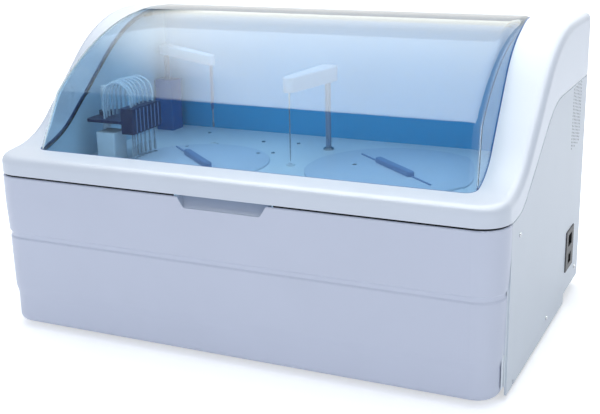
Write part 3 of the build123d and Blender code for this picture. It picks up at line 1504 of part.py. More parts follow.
def make_inlet():
    """Mains inlet with the power switch below it, in the right-hand side."""
    half, wall, lip = INLET_W / 2, WIDTH / 2, INLET_FLANGE
    front, rear = INLET_Y - half, INLET_Y + half
    low, high = INLET_Z, INLET_Z + INLET_H
    face = wall + SCREW_HEAD_H
    flange = block(wall, face, front - lip, rear + lip, low - lip, high + lip)
    body = block(wall - INLET_DEPTH, wall, front, rear, low, high)
    top, deep = high - SOCKET_DROP, wall - SOCKET_DEPTH
    side = SOCKET_W / 2
    socket = block(deep, face + 1, INLET_Y - side, INLET_Y + side, top - SOCKET_H, top)
    pins = []
    for place in (-1, 0, 1):
        pin = Box(SOCKET_DEPTH - SOCKET_PIN_IN, SOCKET_PIN_W, SOCKET_PIN_H)
        up = top - SOCKET_H / 2 - (SOCKET_EARTH_UP / 2) * (2 * abs(place) - 1)
        middle = deep + (SOCKET_DEPTH - SOCKET_PIN_IN) / 2
        pins.append(Pos(middle, INLET_Y + place * SOCKET_PIN_PITCH, up) * pin)
    x, y, z = rocker_centre()
    side, tall = ROCKER_W / 2 + ROCKER_GAP, ROCKER_H / 2 + ROCKER_ROOM
    window = block(x - ROCKER_WELL, face + 1, y - side, y + side, z - tall, z + tall)
    pivot = along_y(x - ROCKER_PIVOT_IN, z, y - side - 1, y + side + 1, ROCKER_PIVOT_R)
    return (flange + body) - socket - window + pins + pivot


def make_rocker():
    """Power rocker, tilted on its pivot."""
    x, y, z = rocker_centre()
    half, wall = ROCKER_H / 2 - ROCKER_GAP, WIDTH / 2
    section = [
        (x - ROCKER_BACK, z - half + ROCKER_TAPER, 0),
        (wall + ROCKER_LOW_PROUD, z - half, 1),
        (wall - ROCKER_DISH, z, 0),
        (wall + ROCKER_TOP_PROUD, z + half, 1),
        (x - ROCKER_BACK, z + half - ROCKER_TAPER, 0),
    ]
    body = extrude(face_of(section, Plane.XZ), -ROCKER_W)
    body = Pos(0, y - ROCKER_W / 2, 0) * body
    return body - along_y(x - ROCKER_PIVOT_IN, z, 0, DEPTH, ROCKER_PIVOT_R + RUNNING)


def strut_line():
    """Length and direction of a closed strut, from its foot to its head."""
    dy, dz = STRUT_HEAD_Y - STRUT_FOOT_Y, STRUT_HEAD_Z - STRUT_FOOT_Z
    length = math.hypot(dy, dz)
    return length, math.degrees(math.atan2(dz, dy))


def strut_part(start, end, radius):
    """Round piece along the right-hand strut, between two distances from its foot."""
    _, angle = strut_line()
    body = Pos(0, 0, (start + end) / 2) * Cylinder(radius, end - start)
    return Pos(STRUT_X, STRUT_FOOT_Y, STRUT_FOOT_Z) * Rot(angle - 90, 0, 0) * body


def strut_eye(y, z, hole):
    """Eye at one end of a strut."""
    half = STRUT_EYE_W / 2
    eye = along_x(y, z, STRUT_X - half, STRUT_X + half, STRUT_EYE_R)
    return eye - along_x(y, z, STRUT_X - half - 1, STRUT_X + half + 1, hole)


def make_strut_cylinders():
    """Gas strut cylinders with their lower eyes."""
    length, _ = strut_line()
    body = strut_part(STRUT_EYE_R - 1, length - STRUT_NOSE, STRUT_CYLINDER_R)
    body = body - strut_part(STRUT_FLOOR, length, STRUT_ROD_R + RUNNING)
    left, right = STRUT_X - STRUT_EYE_W, STRUT_X + STRUT_EYE_W
    body = body - along_x(STRUT_FOOT_Y, STRUT_FOOT_Z, left - 1, right + 1, STRUT_EYE_R - 1)
    return mirrored(body + strut_eye(STRUT_FOOT_Y, STRUT_FOOT_Z, STUD_R + RUNNING))


def make_strut_rods():
    """Gas strut rods with their upper eyes."""
    length, _ = strut_line()
    rod = strut_part(STRUT_ROD_START, length - STRUT_EYE_R + 1, STRUT_ROD_R)
    return mirrored(rod + strut_eye(STRUT_HEAD_Y, STRUT_HEAD_Z, STUD_R + RUNNING))


def make_strut_feet():
    """Lower strut brackets on the deck, with their studs."""
    inner = STRUT_X - BRACKET_SIDE
    front, rear = STRUT_FOOT_Y - BRACKET_HALF, STRUT_FOOT_Y + BRACKET_HALF
    high = STRUT_FOOT_Z + BRACKET_EDGE
    plate = block(inner, inner + BRACKET_T, front, rear, DECK_Z, high)
    foot = block(inner, inner + BRACKET_FOOT, front, rear, DECK_Z, DECK_Z + BRACKET_FOOT_T)
    stud = along_x(STRUT_FOOT_Y, STRUT_FOOT_Z, inner, STRUT_X + STRUT_EYE_W / 2 + 1, STUD_R)
    return mirrored(plate + foot + stud)


def make_strut_heads():
    """Upper strut brackets under the lid, with their studs."""
    inner, high = STRUT_X - BRACKET_SIDE, HEIGHT - WALL
    front, rear = STRUT_HEAD_Y - BRACKET_HALF, STRUT_HEAD_Y + BRACKET_HALF
    low, end = STRUT_HEAD_Z - BRACKET_EDGE, STRUT_X - STRUT_EYE_W / 2 - EYE_GAP
    plate = block(inner, inner + BRACKET_T, front, rear, low, high)
    foot = block(inner - BRACKET_LIP, inner, front, rear, high - BRACKET_FOOT_T, high)
    stud = along_x(STRUT_HEAD_Y, STRUT_HEAD_Z, inner, end, STUD_R)
    return mirrored(plate + foot + stud)


def hinge_set(lower):
    """Leaves and knuckles of both hinges, for the base or for the lid."""
    knuckle = HINGE_W / HINGE_KNUCKLES
    left, right = HINGE_X, HINGE_X + HINGE_W
    pieces = [block(left, right, 0, LEAF_T, LEAF_CLEAR, LEAF_H)]
    for i in range(0 if lower else 1, HINGE_KNUCKLES, 2):
        x0 = left + i * knuckle + KNUCKLE_GAP
        x1 = left + (i + 1) * knuckle - KNUCKLE_GAP
        pieces.append(along_x(HINGE_Y - DEPTH, 0, x0, x1, HINGE_BARREL_R))
        pieces.append(block(x0, x1, 0, LEAF_T, 0, LEAF_CLEAR))
        pieces.append(block(x0, x1, 0, HINGE_Y - DEPTH, 1, HINGE_BARREL_R - 0.5))
    bore = HINGE_PIN_R if lower else HINGE_PIN_R + RUNNING
    body = fuse(pieces) - along_x(HINGE_Y - DEPTH, 0, left - 1, right + 1, bore)
    if lower:
        body = mirror(body, about=Plane.XY)
    return mirrored(Pos(0, DEPTH, SEAM_REAR) * body)


def make_hinge_pins():
    """Hinge pins, held in the base knuckles."""
    return mirrored(along_x(HINGE_Y, SEAM_REAR, HINGE_X, HINGE_X + HINGE_W, HINGE_PIN_R))


def make_bumpers():
    """Rubber bumpers that carry the closed lid at its front corners."""
    stem = upright(BUMPER_X, BUMPER_Y, DECK_Z, LIP_TOP + LIP_H, BUMPER_R)
    return mirrored(stem & lid_block(WALL, LID_SKIRT))


def make_panel_screws():
    """Screw heads of both side panels and the rear panel."""
    screws = []
    half = WIDTH / 2
    for y, z in SIDE_SCREWS:
        head = along_x(y, z, half, half + SCREW_HEAD_H, SCREW_HEAD_R)
        screws.extend(mirrored(head))
    for x in REAR_SCREW_X:
        for z in REAR_SCREW_Z:
            screws.append(along_y(x, z, DEPTH, DEPTH + SCREW_HEAD_H, SCREW_HEAD_R))
    return screws


def make_deck_screws():
    """Screw heads on the deck."""
    screws = []
    for x, back in DECK_SCREWS:
        y = CHAMBER_REAR_Y - back
        screws.append(upright(x, y, DECK_Z, DECK_Z + SCREW_HEAD_H, SCREW_HEAD_R))
    return screws


def side_cuts():
    """Openings of the right-hand panel for the air vent and the mains inlet."""
    half, wall = INLET_W / 2, WIDTH / 2
    inside, outside = wall - WALL - 1, wall + 1
    front, rear = INLET_Y - half - INLET_GAP, INLET_Y + half + INLET_GAP
    low, high = INLET_Z - INLET_GAP, INLET_Z + INLET_H + INLET_GAP
    mouth = block(inside, outside, front, rear, low, high)
    return vent_holes(inside, outside) + [mouth]


def main():
    """Make every piece and write it."""
    os.makedirs("parts", exist_ok=True)
    lid_shell, window, gasket = make_lid()
    side = make_side_panel()
    groups = {
        "base_tray": [make_tray()],
        "rubber_feet": make_feet(),
        "chassis_frame": [make_frame()],
        "front_panel": [make_front_panel()],
        "right_side_panel": [side - side_cuts()],
        "left_side_panel": [mirror(side, about=Plane.YZ)],
        "rear_panel": [make_rear_panel()],
        "deck_plate": [make_deck()],
        "chamber_wall": [make_chamber()],
        "reaction_bath": [make_bath()],
        "spindle_housings": make_spindle_housings(),
        "stepper_motors": make_motors(),
        "drive_belts": make_belts(),
        "reaction_cover": [make_reaction_cover()],
        "reagent_pot": [make_pot()],
        "photometer": [make_photometer()],
        "shaft_guides": [guide_column(PROBE_X, PROBE_Y), guide_column(MIXER_X, MIXER_Y)],
        "lift_rails": [lift_rail(PROBE_X, PROBE_Y), lift_rail(MIXER_X, MIXER_Y)],
        "mixer_tower": [make_mixer_tower()],
        "wash_tower": [make_wash_tower(), make_wash_rod()],
        "rinse_wells": make_wells(),
        "dosing_pump": [make_syringe()],
        "power_supply": [make_power_supply()],
        "control_board": [make_control_board()],
        "pump_block": [make_pumps()],
        "mains_inlet": [make_inlet()],
        "fan_frame": [make_fan_frame()],
        "hose_ports": make_ports(),
        "hinge_base_leaves": hinge_set(lower=True),
        "hinge_pins": make_hinge_pins(),
        "strut_feet": make_strut_feet(),
        "case_screws": make_panel_screws() + make_deck_screws(),
        "lid_shell": [lid_shell],
        "window": [window],
        "window_gasket": [gasket],
        "hinge_lid_leaves": hinge_set(lower=False),
        "strut_heads": make_strut_heads(),
        "lid_bumpers": make_bumpers(),
        "strut_cylinders": make_strut_cylinders(),
        "strut_rods": make_strut_rods(),
        "reaction_disk": [make_reaction_disk()],
        "cuvettes": make_cuvettes(),
        "reaction_motor_pulley": [make_motor_pulley(REACTION_X, REACTION_Y, 1)],
        "reagent_disk": [make_reagent_disk()],
        "reagent_bottles": make_bottles(),
        "sample_cups": make_cups(),
        "reagent_motor_pulley": [make_motor_pulley(REAGENT_X, REAGENT_Y, -1)],
        "reagent_cover": [make_reagent_cover()],
        "probe_carriage": [lift_carriage(PROBE_X, PROBE_Y)],
        "probe_arm": [make_probe_arm()],
        "probe_needle": [make_needle()],
        "mixer_carriage": [lift_carriage(MIXER_X, MIXER_Y)],
        "mixer_arm": [make_mixer_arm()],
        "mixer_paddle": [make_paddle()],
        "wash_head": [make_wash_head()],
        "wash_nozzles": make_nozzles(),
        "wash_tubes": make_wash_tubes(),
        "dosing_plunger": [make_plunger()],
        "fan_rotor": [make_fan_rotor()],
        "power_rocker": [make_rocker()],
    }
    for name, pieces in groups.items():
        save(pieces[0] if len(pieces) == 1 else Compound(children=list(pieces)), name)
        print(name, len(pieces))
    print(len(groups), "nodes")


main()
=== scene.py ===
"""Dressed view of a bench-top chemistry analyzer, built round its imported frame."""

import json
import logging
import math
from dataclasses import dataclass, field, replace
from enum import Enum

import bmesh
import bpy
from mathutils import Matrix, Vector

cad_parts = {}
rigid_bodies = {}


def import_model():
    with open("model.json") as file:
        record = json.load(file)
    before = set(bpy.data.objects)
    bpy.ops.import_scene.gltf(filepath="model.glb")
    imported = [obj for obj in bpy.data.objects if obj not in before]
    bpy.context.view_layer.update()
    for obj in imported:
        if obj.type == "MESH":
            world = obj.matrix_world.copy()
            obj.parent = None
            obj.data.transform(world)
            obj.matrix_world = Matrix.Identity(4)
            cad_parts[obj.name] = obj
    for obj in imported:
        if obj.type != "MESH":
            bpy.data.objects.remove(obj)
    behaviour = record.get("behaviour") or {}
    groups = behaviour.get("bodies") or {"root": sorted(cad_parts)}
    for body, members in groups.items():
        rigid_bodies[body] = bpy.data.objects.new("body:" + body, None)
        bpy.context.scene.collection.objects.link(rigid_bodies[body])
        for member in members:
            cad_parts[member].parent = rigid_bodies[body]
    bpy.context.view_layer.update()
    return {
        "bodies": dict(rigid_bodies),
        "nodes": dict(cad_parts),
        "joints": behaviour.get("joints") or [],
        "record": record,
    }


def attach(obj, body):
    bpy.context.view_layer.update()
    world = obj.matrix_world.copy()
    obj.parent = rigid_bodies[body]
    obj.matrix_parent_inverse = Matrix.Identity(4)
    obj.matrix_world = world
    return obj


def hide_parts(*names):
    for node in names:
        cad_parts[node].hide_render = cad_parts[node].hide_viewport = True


LOG = logging.getLogger("analyzer")
MM = 0.001

# The frame's y is counted from the middle of the case and its z from under the feet.
CASE_FRONT_MM = 290.0
SKIRT_MM = 8.0

# Faces that meet at less than this angle shade as one curve.
SHARP_DEGREES = 35
BEVEL_SEGMENTS = 2
BEVEL_PROFILE = 0.5
KEEP_MATERIAL = -1

# Values that every opaque finish shares: the plastics' IOR, which is also the shader's default
# that metals keep, how the two noises are drawn, the range of the noise that is used, how far
# the roughness goes up and down with it, and the depth of the relief.
SOLID_IOR = 1.5
NOISE_DETAIL = 2.0
GRAIN_SHARPNESS = 0.6
NOISE_SPAN = (0.3, 0.7)
ROUGHNESS_SPAN = (0.88, 1.12)
RELIEF_DEPTH_MM = 0.3

# A Mix node's sockets share their names, so they are called by number.
MIX_FACTOR = 0
MIX_FLOAT_A, MIX_FLOAT_B, MIX_FLOAT_RESULT = 2, 3, 0
MIX_COLOUR_A, MIX_COLOUR_B, MIX_COLOUR_RESULT = 6, 7, 2

Point = tuple[float, float, float]
Pair = tuple[float, float]


class Grain(Enum):
    """How a surface's fine pattern is stretched along x, y and z.

    Moulded and sprayed surfaces have an even grain, and brushed or ground ones upright lines.
    """

    EVEN = (1.0, 1.0, 1.0)
    BRUSHED = (1.0, 1.0, 0.04)


def place(x: float, y: float, z: float) -> Point:
    """Turn a place on the case into a place in the frame.

    Args:
        x: Distance to the right of the middle, in millimetres.
        y: Distance behind the case's front face, in millimetres.
        z: Height above the lower edge of the skirt, in millimetres.

    Returns:
        The place in metres.
    """
    return (x * MM, (y - CASE_FRONT_MM) * MM, (z + SKIRT_MM) * MM)


def round_turns(count: int) -> list[float]:
    """Share a full turn evenly, in radians."""
    return [2 * math.pi * i / count for i in range(count)]


def linear(code: str) -> tuple[float, float, float, float]:
    """Turn an sRGB hex colour into linear light.

    Args:
        code: Six hex digits, such as "E4EAF0".

    Returns:
        Red, green, blue and an alpha of one.
    """
    shares = [int(code[i : i + 2], 16) / 255 for i in (0, 2, 4)]
    lights = [s / 12.92 if s <= 0.04045 else ((s + 0.055) / 1.055) ** 2.4 for s in shares]
    return (lights[0], lights[1], lights[2], 1.0)


def add_node(
    tree: bpy.types.NodeTree, kind: str, inputs: dict | None = None, **settings
) -> bpy.types.Node:
    """Add one node with its settings, input values and links.

    Args:
        tree: The node tree that takes the node.
        kind: The node's type name.
        inputs: Socket name or number to a value, or to the socket that feeds it.
        settings: The node's own properties.

    Returns:
        The new node.
    """
    node = tree.nodes.new(kind)
    for name, value in settings.items():
        setattr(node, name, value)
    for socket, value in (inputs or {}).items():
        if isinstance(value, bpy.types.NodeSocket):
            tree.links.new(value, node.inputs[socket])
        else:
            node.inputs[socket].default_value = value
    return node


def new_material(name: str) -> tuple[bpy.types.Material, bpy.types.NodeTree, bpy.types.Node]:
    """Make an empty material.

    Args:
        name: The material's name.

    Returns:
        The material, its node tree and its output node.
    """
    material = bpy.data.materials.new(name)
    material.use_nodes = True
    material.node_tree.nodes.clear()
    return material, material.node_tree, add_node(material.node_tree, "ShaderNodeOutputMaterial")


def where_all(
    tree: bpy.types.NodeTree, masks: list[bpy.types.NodeSocket]
) -> bpy.types.NodeSocket:
    """Give one only where every mask is one.

    Args:
        tree: The finish's node tree.
        masks: Sockets that are nought or one.

    Returns:
        The combined mask.
    """
    whole = masks[0]
    for mask in masks[1:]:
        both = add_node(tree, "ShaderNodeMath", {0: whole, 1: mask}, operation="MULTIPLY")
        whole = both.outputs[0]
    return whole


@dataclass(frozen=True)
class Above:
    """A second colour on all that stands above a height, in metres."""

    colour: str
    height: float

    def mask(self, tree: bpy.types.NodeTree, spot: bpy.types.NodeSocket) -> bpy.types.NodeSocket:
        """Give one above the height, else nought.

        Args:
            tree: The finish's node tree.
            spot: The place on the piece.

        Returns:
            The mask.
        """
        axes = add_node(tree, "ShaderNodeSeparateXYZ", {0: spot}).outputs
        above = add_node(
            tree, "ShaderNodeMath", {0: axes[2], 1: self.height}, operation="GREATER_THAN"
        )
        return above.outputs[0]


@dataclass(frozen=True)
class SideWalls:
    """A second colour on the faces that look left or right."""

    colour: str
    least_facing: float = 0.7

    def mask(self, tree: bpy.types.NodeTree, spot: bpy.types.NodeSocket) -> bpy.types.NodeSocket:
        """Give one on the sideways faces, else nought.

        Args:
            tree: The finish's node tree.
            spot: The place on the piece, which this mask doesn't need.

        Returns:
            The mask.
        """
        normal = add_node(tree, "ShaderNodeTexCoord").outputs["Normal"]
        across = add_node(tree, "ShaderNodeSeparateXYZ", {0: normal}).outputs[0]
        sideways = add_node(tree, "ShaderNodeMath", {0: across}, operation="ABSOLUTE")
        facing = add_node(
            tree,
            "ShaderNodeMath",
            {0: sideways.outputs[0], 1: self.least_facing},
            operation="GREATER_THAN",
        )
        return facing.outputs[0]


@dataclass(frozen=True)
class InnerShade:
    """A second colour on the inner faces behind a depth and above a height, in metres. The lid
    uses it for painted shade.
    """

    colour: str
    depth: float
    height: float
    inward: Point = (0.0, -0.7, -0.7)
    least_facing: float = 0.3

    def mask(self, tree: bpy.types.NodeTree, spot: bpy.types.NodeSocket) -> bpy.types.NodeSocket:
        """Give one on the lined faces, else nought.

        Args:
            tree: The finish's node tree.
            spot: The place on the piece.

        Returns:
            The mask.
        """
        axes = add_node(tree, "ShaderNodeSeparateXYZ", {0: spot}).outputs
        normal = add_node(tree, "ShaderNodeTexCoord").outputs["Normal"]
        facing = add_node(
            tree, "ShaderNodeVectorMath", {0: normal, 1: self.inward}, operation="DOT_PRODUCT"
        ).outputs["Value"]
        masks = []
        for value, least in (
            (facing, self.least_facing),
            (axes[1], self.depth),
            (axes[2], self.height),
        ):
            past = add_node(
                tree, "ShaderNodeMath", {0: value, 1: least}, operation="GREATER_THAN"
            )
            masks.append(past.outputs[0])
        return where_all(tree, masks)


@dataclass(frozen=True)
class Patch:
    """A second colour inside a box between two corners, in metres."""

    colour: str
    low: Point
    high: Point

    def mask(self, tree: bpy.types.NodeTree, spot: bpy.types.NodeSocket) -> bpy.types.NodeSocket:
        """Give one inside the box, else nought.

        Args:
            tree: The finish's node tree.
            spot: The place on the piece.

        Returns:
            The mask.
        """
        axes = add_node(tree, "ShaderNodeSeparateXYZ", {0: spot}).outputs
        masks = []
        for axis, low, high in zip(axes, self.low, self.high):
            near = add_node(
                tree,
                "ShaderNodeMath",
                {0: axis, 1: (high + low) / 2, 2: (high - low) / 2},
                operation="COMPARE",
            )
            masks.append(near.outputs[0])
        return where_all(tree, masks)


@dataclass(frozen=True)
class Solid:
    """An opaque finish: moulded plastic, painted or bare metal, rubber, or a near-black painted
    shade.

    The grain's size and the length over which the colour drifts are in millimetres. Real
    moulded, sprayed or ground grain is 0.02 to 0.3 mm wide, too fine to show in the render, so
    it is drawn as coarse as grain_mm says, with a relief low enough to look as soft.
    """

    name: str
    colour: str
    roughness: float = 0.4
    metallic: float = 0.0
    grain: Grain = Grain.EVEN
    grain_mm: float = 0.9
    relief: float = 0.06
    drift: float = 0.03
    drift_mm: float = 120.0
    second: Above | SideWalls | InnerShade | Patch | None = None

    def tinted(self, tree: bpy.types.NodeTree, spot: bpy.types.NodeSocket) -> bpy.types.NodeSocket:
        """Mix the finish's colour, with its broad drift and its second colour.

        Args:
            tree: The finish's node tree.
            spot: The place on the piece.

        Returns:
            The colour.
        """
        broad = add_node(
            tree,
            "ShaderNodeTexNoise",
            {"Vector": spot, "Scale": 1 / (self.drift_mm * MM), "Detail": NOISE_DETAIL},
        )
        base = linear(self.colour)[:3]
        tint = add_node(
            tree,
            "ShaderNodeMix",
            {
                MIX_FACTOR: broad.outputs["Fac"],
                MIX_COLOUR_A: tuple(c * (1 - self.drift) for c in base) + (1.0,),
                MIX_COLOUR_B: tuple(min(c * (1 + self.drift), 1.0) for c in base) + (1.0,),
            },
            data_type="RGBA",
        )
        if self.second is None:
            return tint.outputs[MIX_COLOUR_RESULT]
        covered = add_node(
            tree,
            "ShaderNodeMix",
            {
                MIX_FACTOR: self.second.mask(tree, spot),
                MIX_COLOUR_A: tint.outputs[MIX_COLOUR_RESULT],
                MIX_COLOUR_B: linear(self.second.colour),
            },
            data_type="RGBA",
        )
        return covered.outputs[MIX_COLOUR_RESULT]

    def make(self) -> bpy.types.Material:
        """Build the finish's material.

        Returns:
            The material, with its fine grain in the roughness and the relief.
        """
        material, tree, out = new_material(self.name)
        spot = add_node(tree, "ShaderNodeTexCoord").outputs["Object"]
        along = add_node(tree, "ShaderNodeMapping", {"Vector": spot, "Scale": self.grain.value})
        fine = add_node(
            tree,
            "ShaderNodeTexNoise",
            {
                "Vector": along.outputs["Vector"],
                "Scale": 1 / (self.grain_mm * MM),
                "Detail": NOISE_DETAIL,
                "Roughness": GRAIN_SHARPNESS,
            },
        )
        rough = add_node(
            tree,
            "ShaderNodeMapRange",
            {
                "Value": fine.outputs["Fac"],
                "From Min": NOISE_SPAN[0],
                "From Max": NOISE_SPAN[1],
                "To Min": self.roughness * ROUGHNESS_SPAN[0],
                "To Max": min(self.roughness * ROUGHNESS_SPAN[1], 1.0),
            },
        )
        bump = add_node(
            tree,
            "ShaderNodeBump",
            {
                "Height": fine.outputs["Fac"],
                "Strength": self.relief,
                "Distance": RELIEF_DEPTH_MM * MM,
            },
        )
        shader = add_node(
            tree,
            "ShaderNodeBsdfPrincipled",
            {
                "Base Color": self.tinted(tree, spot),
                "Roughness": rough.outputs["Result"],
                "Metallic": self.metallic,
                "IOR": SOLID_IOR,
                "Normal": bump.outputs["Normal"],
            },
        )
        tree.links.new(shader.outputs["BSDF"], out.inputs["Surface"])
        return material


@dataclass(frozen=True)
class Clear:
    """A see-through finish: polished sheet, clear hose or clear moulding.

    The tint is what a wall with its two faces lets through, and the cloud is the share of the
    light that a milky wall scatters.
    """

    name: str
    tint: str
    ior: float = 1.49
    roughness: float = 0.02
    cloud: float = 0.0

    def make(self) -> bpy.types.Material:
        """Build the finish's material.

        Returns:
            The material, which refracts and lets the lamps' light through.
        """
        material, tree, out = new_material(self.name)
        body = add_node(
            tree,
            "ShaderNodeBsdfPrincipled",
            {
                "Base Color": linear(self.tint),
                "Roughness": self.roughness,
                "IOR": self.ior,
                "Transmission Weight": 1.0 - self.cloud,
            },
        )
        one_face = tuple(math.sqrt(c) for c in linear(self.tint))
        light = add_node(tree, "ShaderNodeBsdfTransparent", {"Color": one_face})
        path = add_node(tree, "ShaderNodeLightPath")
        whole = add_node(
            tree,
            "ShaderNodeMixShader",
            {0: path.outputs["Is Shadow Ray"], 1: body.outputs[0], 2: light.outputs[0]},
        )
        tree.links.new(whole.outputs[0], out.inputs["Surface"])
        return material


@dataclass
class Finishes:
    """Every finish of the analyzer, made once and handed out by name."""

    made: dict[str, bpy.types.Material] = field(default_factory=dict)

    def get(self, finish: Solid | Clear) -> bpy.types.Material:
        """Return a finish's material, made on first use.

        Args:
            finish: The finish that is asked for.

        Returns:
            Its material.
        """
        if finish.name not in self.made:
            self.made[finish.name] = finish.make()
        return self.made[finish.name]


# Lid: ABS from an eroded mould, unpainted. It gives a satin white with a wide, soft highlight and
# hardly any grain. Its inner side at the top rear is painted shade, in the chamber's blue.
CASE_ABS = Solid(
    "satin_white_abs",
    "E3E8F0",
    roughness=0.34,
    grain_mm=1.1,
    relief=0.04,
    second=InnerShade("46B0E0", depth=0.1, height=0.44),
)
# Front panel: the same moulded ABS in a cooler, greyer white with the same satin sheen. Its finger
# recess is painted darker than the panel round it, as painted shade under the lid's lip.
FRONT_ABS = Solid(
    "satin_pale_blue_abs",
    "D6DAE8",
    roughness=0.36,
    grain_mm=1.1,
    relief=0.04,
    second=Patch("B9C0D0", (-0.0838, -0.2885, 0.240), (0.0838, -0.262, 0.2662)),
)
# Side and rear panels: steel sheet with pale grey powder coating. Its orange-peel relief
# breaks the highlight into a dull bloom.
SIDE_PAINT = Solid("powder_coated_sheet", "D6DCE3", roughness=0.42, relief=0.08)
# Right-hand panel: the same coating. The walls of its vent holes are painted near black, as
# painted shade, because little light reaches into them.
VENTED_PAINT = replace(
    SIDE_PAINT,
    name="powder_coated_vent_panel",
    second=Patch("15171A", (0.400, 0.145, 0.270), (0.42992, 0.215, 0.3895)),
)
# Deck: one ABS moulding, pale and satin. It shows the light from above as an even, soft tone.
DECK_ABS = Solid("deck_moulding", "E6F0F6")
# Chamber wall: sheet metal, nearly matt. The strong light blue of its rear wall is painted shade,
# so that it reads as an even band of colour, and its side walls are painted paler, as painted
# light.
CHAMBER_SHADE_AND_LIGHT = Solid("chamber_shade_and_light", "46B0E0", roughness=0.45, second=SideWalls("C4DCEB"))
# Turntable covers: moulded ABS in pale blue-grey, with a satin sheen on the chamfered rim. The
# ribs and grips that stand on them are painted a deeper blue, as painted shade along the grips.
COVER_ABS = Solid(
    "turntable_cover_moulding", "D3DEEC", roughness=0.35, second=Above("7F97BE", 0.2614)
)
# Nozzle block: moulded ABS in navy, so dark that only its small highlights show its form.
NAVY = Solid("navy_moulding", "1B2350", roughness=0.35)
# Mixer tower: moulded ABS in mid blue, satin.
DARK_BLUE = Solid("dark_blue_moulding", "2C66A6")
# Wash tower, rinse wells and reagent pot: moulded white ABS, satin and clean.
TOWER_WHITE = Solid("white_moulding", "E4EBF0")
# Feet, belts and bumpers: moulded nitrile rubber, a dull and grainy black without highlights.
RUBBER = Solid("black_rubber", "17181B", roughness=0.8, grain_mm=0.5, relief=0.15)
# Inlet, fan and rocker: glass-filled polyamide mouldings, black with a faint, wide sheen.
BLACK_ABS = Solid("black_moulding", "141518", roughness=0.45)
# Tray, power supply and brackets: zinc-plated steel sheet, a soft grey mirror whose crystals
# show as cloudy patches about 14 mm across.
ZINC = Solid("zinc_plated_sheet", "A9AEB3", roughness=0.38, metallic=1.0, drift=0.12, drift_mm=14)
# Rods, shafts, needles, screws and hinges: ground steel, with sharp, bright, streaked
# highlights.
STEEL = Solid(
    "ground_steel", "B9BCC0", roughness=0.25, metallic=1.0, grain=Grain.BRUSHED, grain_mm=0.4
)
# Bath, disks, housings and carriages: machined aluminium, paler and softer than steel, with
# fine tool lines.
ALUMINIUM = Solid(
    "machined_aluminium", "C4C7CB", roughness=0.32, metallic=1.0, grain=Grain.BRUSHED
)
# Hose ports: turned brass, warm yellow with one bright band of highlight.
BRASS = Solid("turned_brass", "BFA063", roughness=0.28, metallic=1.0, grain=Grain.BRUSHED)
# Frame: bent steel with dark grey powder coating, dull and even.
FRAME_PAINT = Solid("frame_powder_coat", "4B4F55", roughness=0.5)
# Motors, pumps, photometer and strut cylinders: black stoving enamel with a faint sheen.
MOTOR_PAINT = Solid("black_motor_paint", "15161A")
# Control board: glass and epoxy laminate under a green solder mask, with a wet-looking sheen.
BOARD = Solid("board_solder_mask", "14512F", roughness=0.35)
# Reagent bottles: blow-moulded polythene, waxy and milky white.
BOTTLE = Solid("blow_moulded_polythene", "DDE2E6", roughness=0.45)
# Seal round the window: moulded blue rubber, duller and darker than the window that it holds.
GASKET_BLUE = Solid("blue_seal_rubber", "1C4C86", roughness=0.55, grain_mm=0.5, relief=0.1)
# Probe arm and its column: moulded ABS with a clear sheen. Their blue-grey is painted shade, and
# the arm is painted paler than the column under it, as painted light on the higher part.
PROBE_ARM_ABS = Solid("probe_arm_moulding", "8496AE", roughness=0.3, second=Above("A6BAD2", 0.383))
# Mixer arm and its column: the same moulding in a deeper blue, which is painted shade, with the
# same arm painted paler, as painted light.
MIXER_ARM_ABS = Solid(
    "mixer_arm_moulding", "54719A", roughness=0.35, second=Above("A6BAD2", 0.4055)
)
# Seam and corner strips: a smooth near-white, so that each shows as a thin bright line. The strips
# in the lid's side seams are a painted highlight.
STRIP_WHITE = Solid("white_seam_strip", "EEF3F7")
# Strips in the lid's seam and the pad behind the vent: near black and rough, as painted shade for
# the dark seam and the dark vent holes.
SHADE_BLACK = Solid("painted_shade_black", "0C0D0F", roughness=0.95, grain_mm=0.8, relief=0.4)
# Bottle caps: moulded polypropylene in mid blue, whose ribs catch a row of small highlights.
CAP_BLUE = Solid("blue_cap_moulding", "3F6FB5")
# Feed lines: extruded polyurethane, pale blue-grey and smooth.
FEED_GREY = Solid("pale_feed_line", "7388B4", roughness=0.35)
# Window: cast acrylic sheet, tinted blue and polished. It is clear, and it mirrors the room
# sharply and more strongly at a flat angle.
WINDOW_BLUE = Clear("blue_tinted_acrylic", "C0D6E5")
# Cuvettes and sample cups: clear moulded polystyrene, seen mostly by its bright edges.
CLEAR_CUP = Clear("clear_polystyrene", "F2F6F8", ior=1.5)
# Wash tubes: extruded silicone hose. It is milky, with soft highlights, and things behind it
# show only faintly.
CLEAR_HOSE = Clear("milky_silicone_hose", "E3EFF8", ior=1.4, roughness=0.15, cloud=0.5)


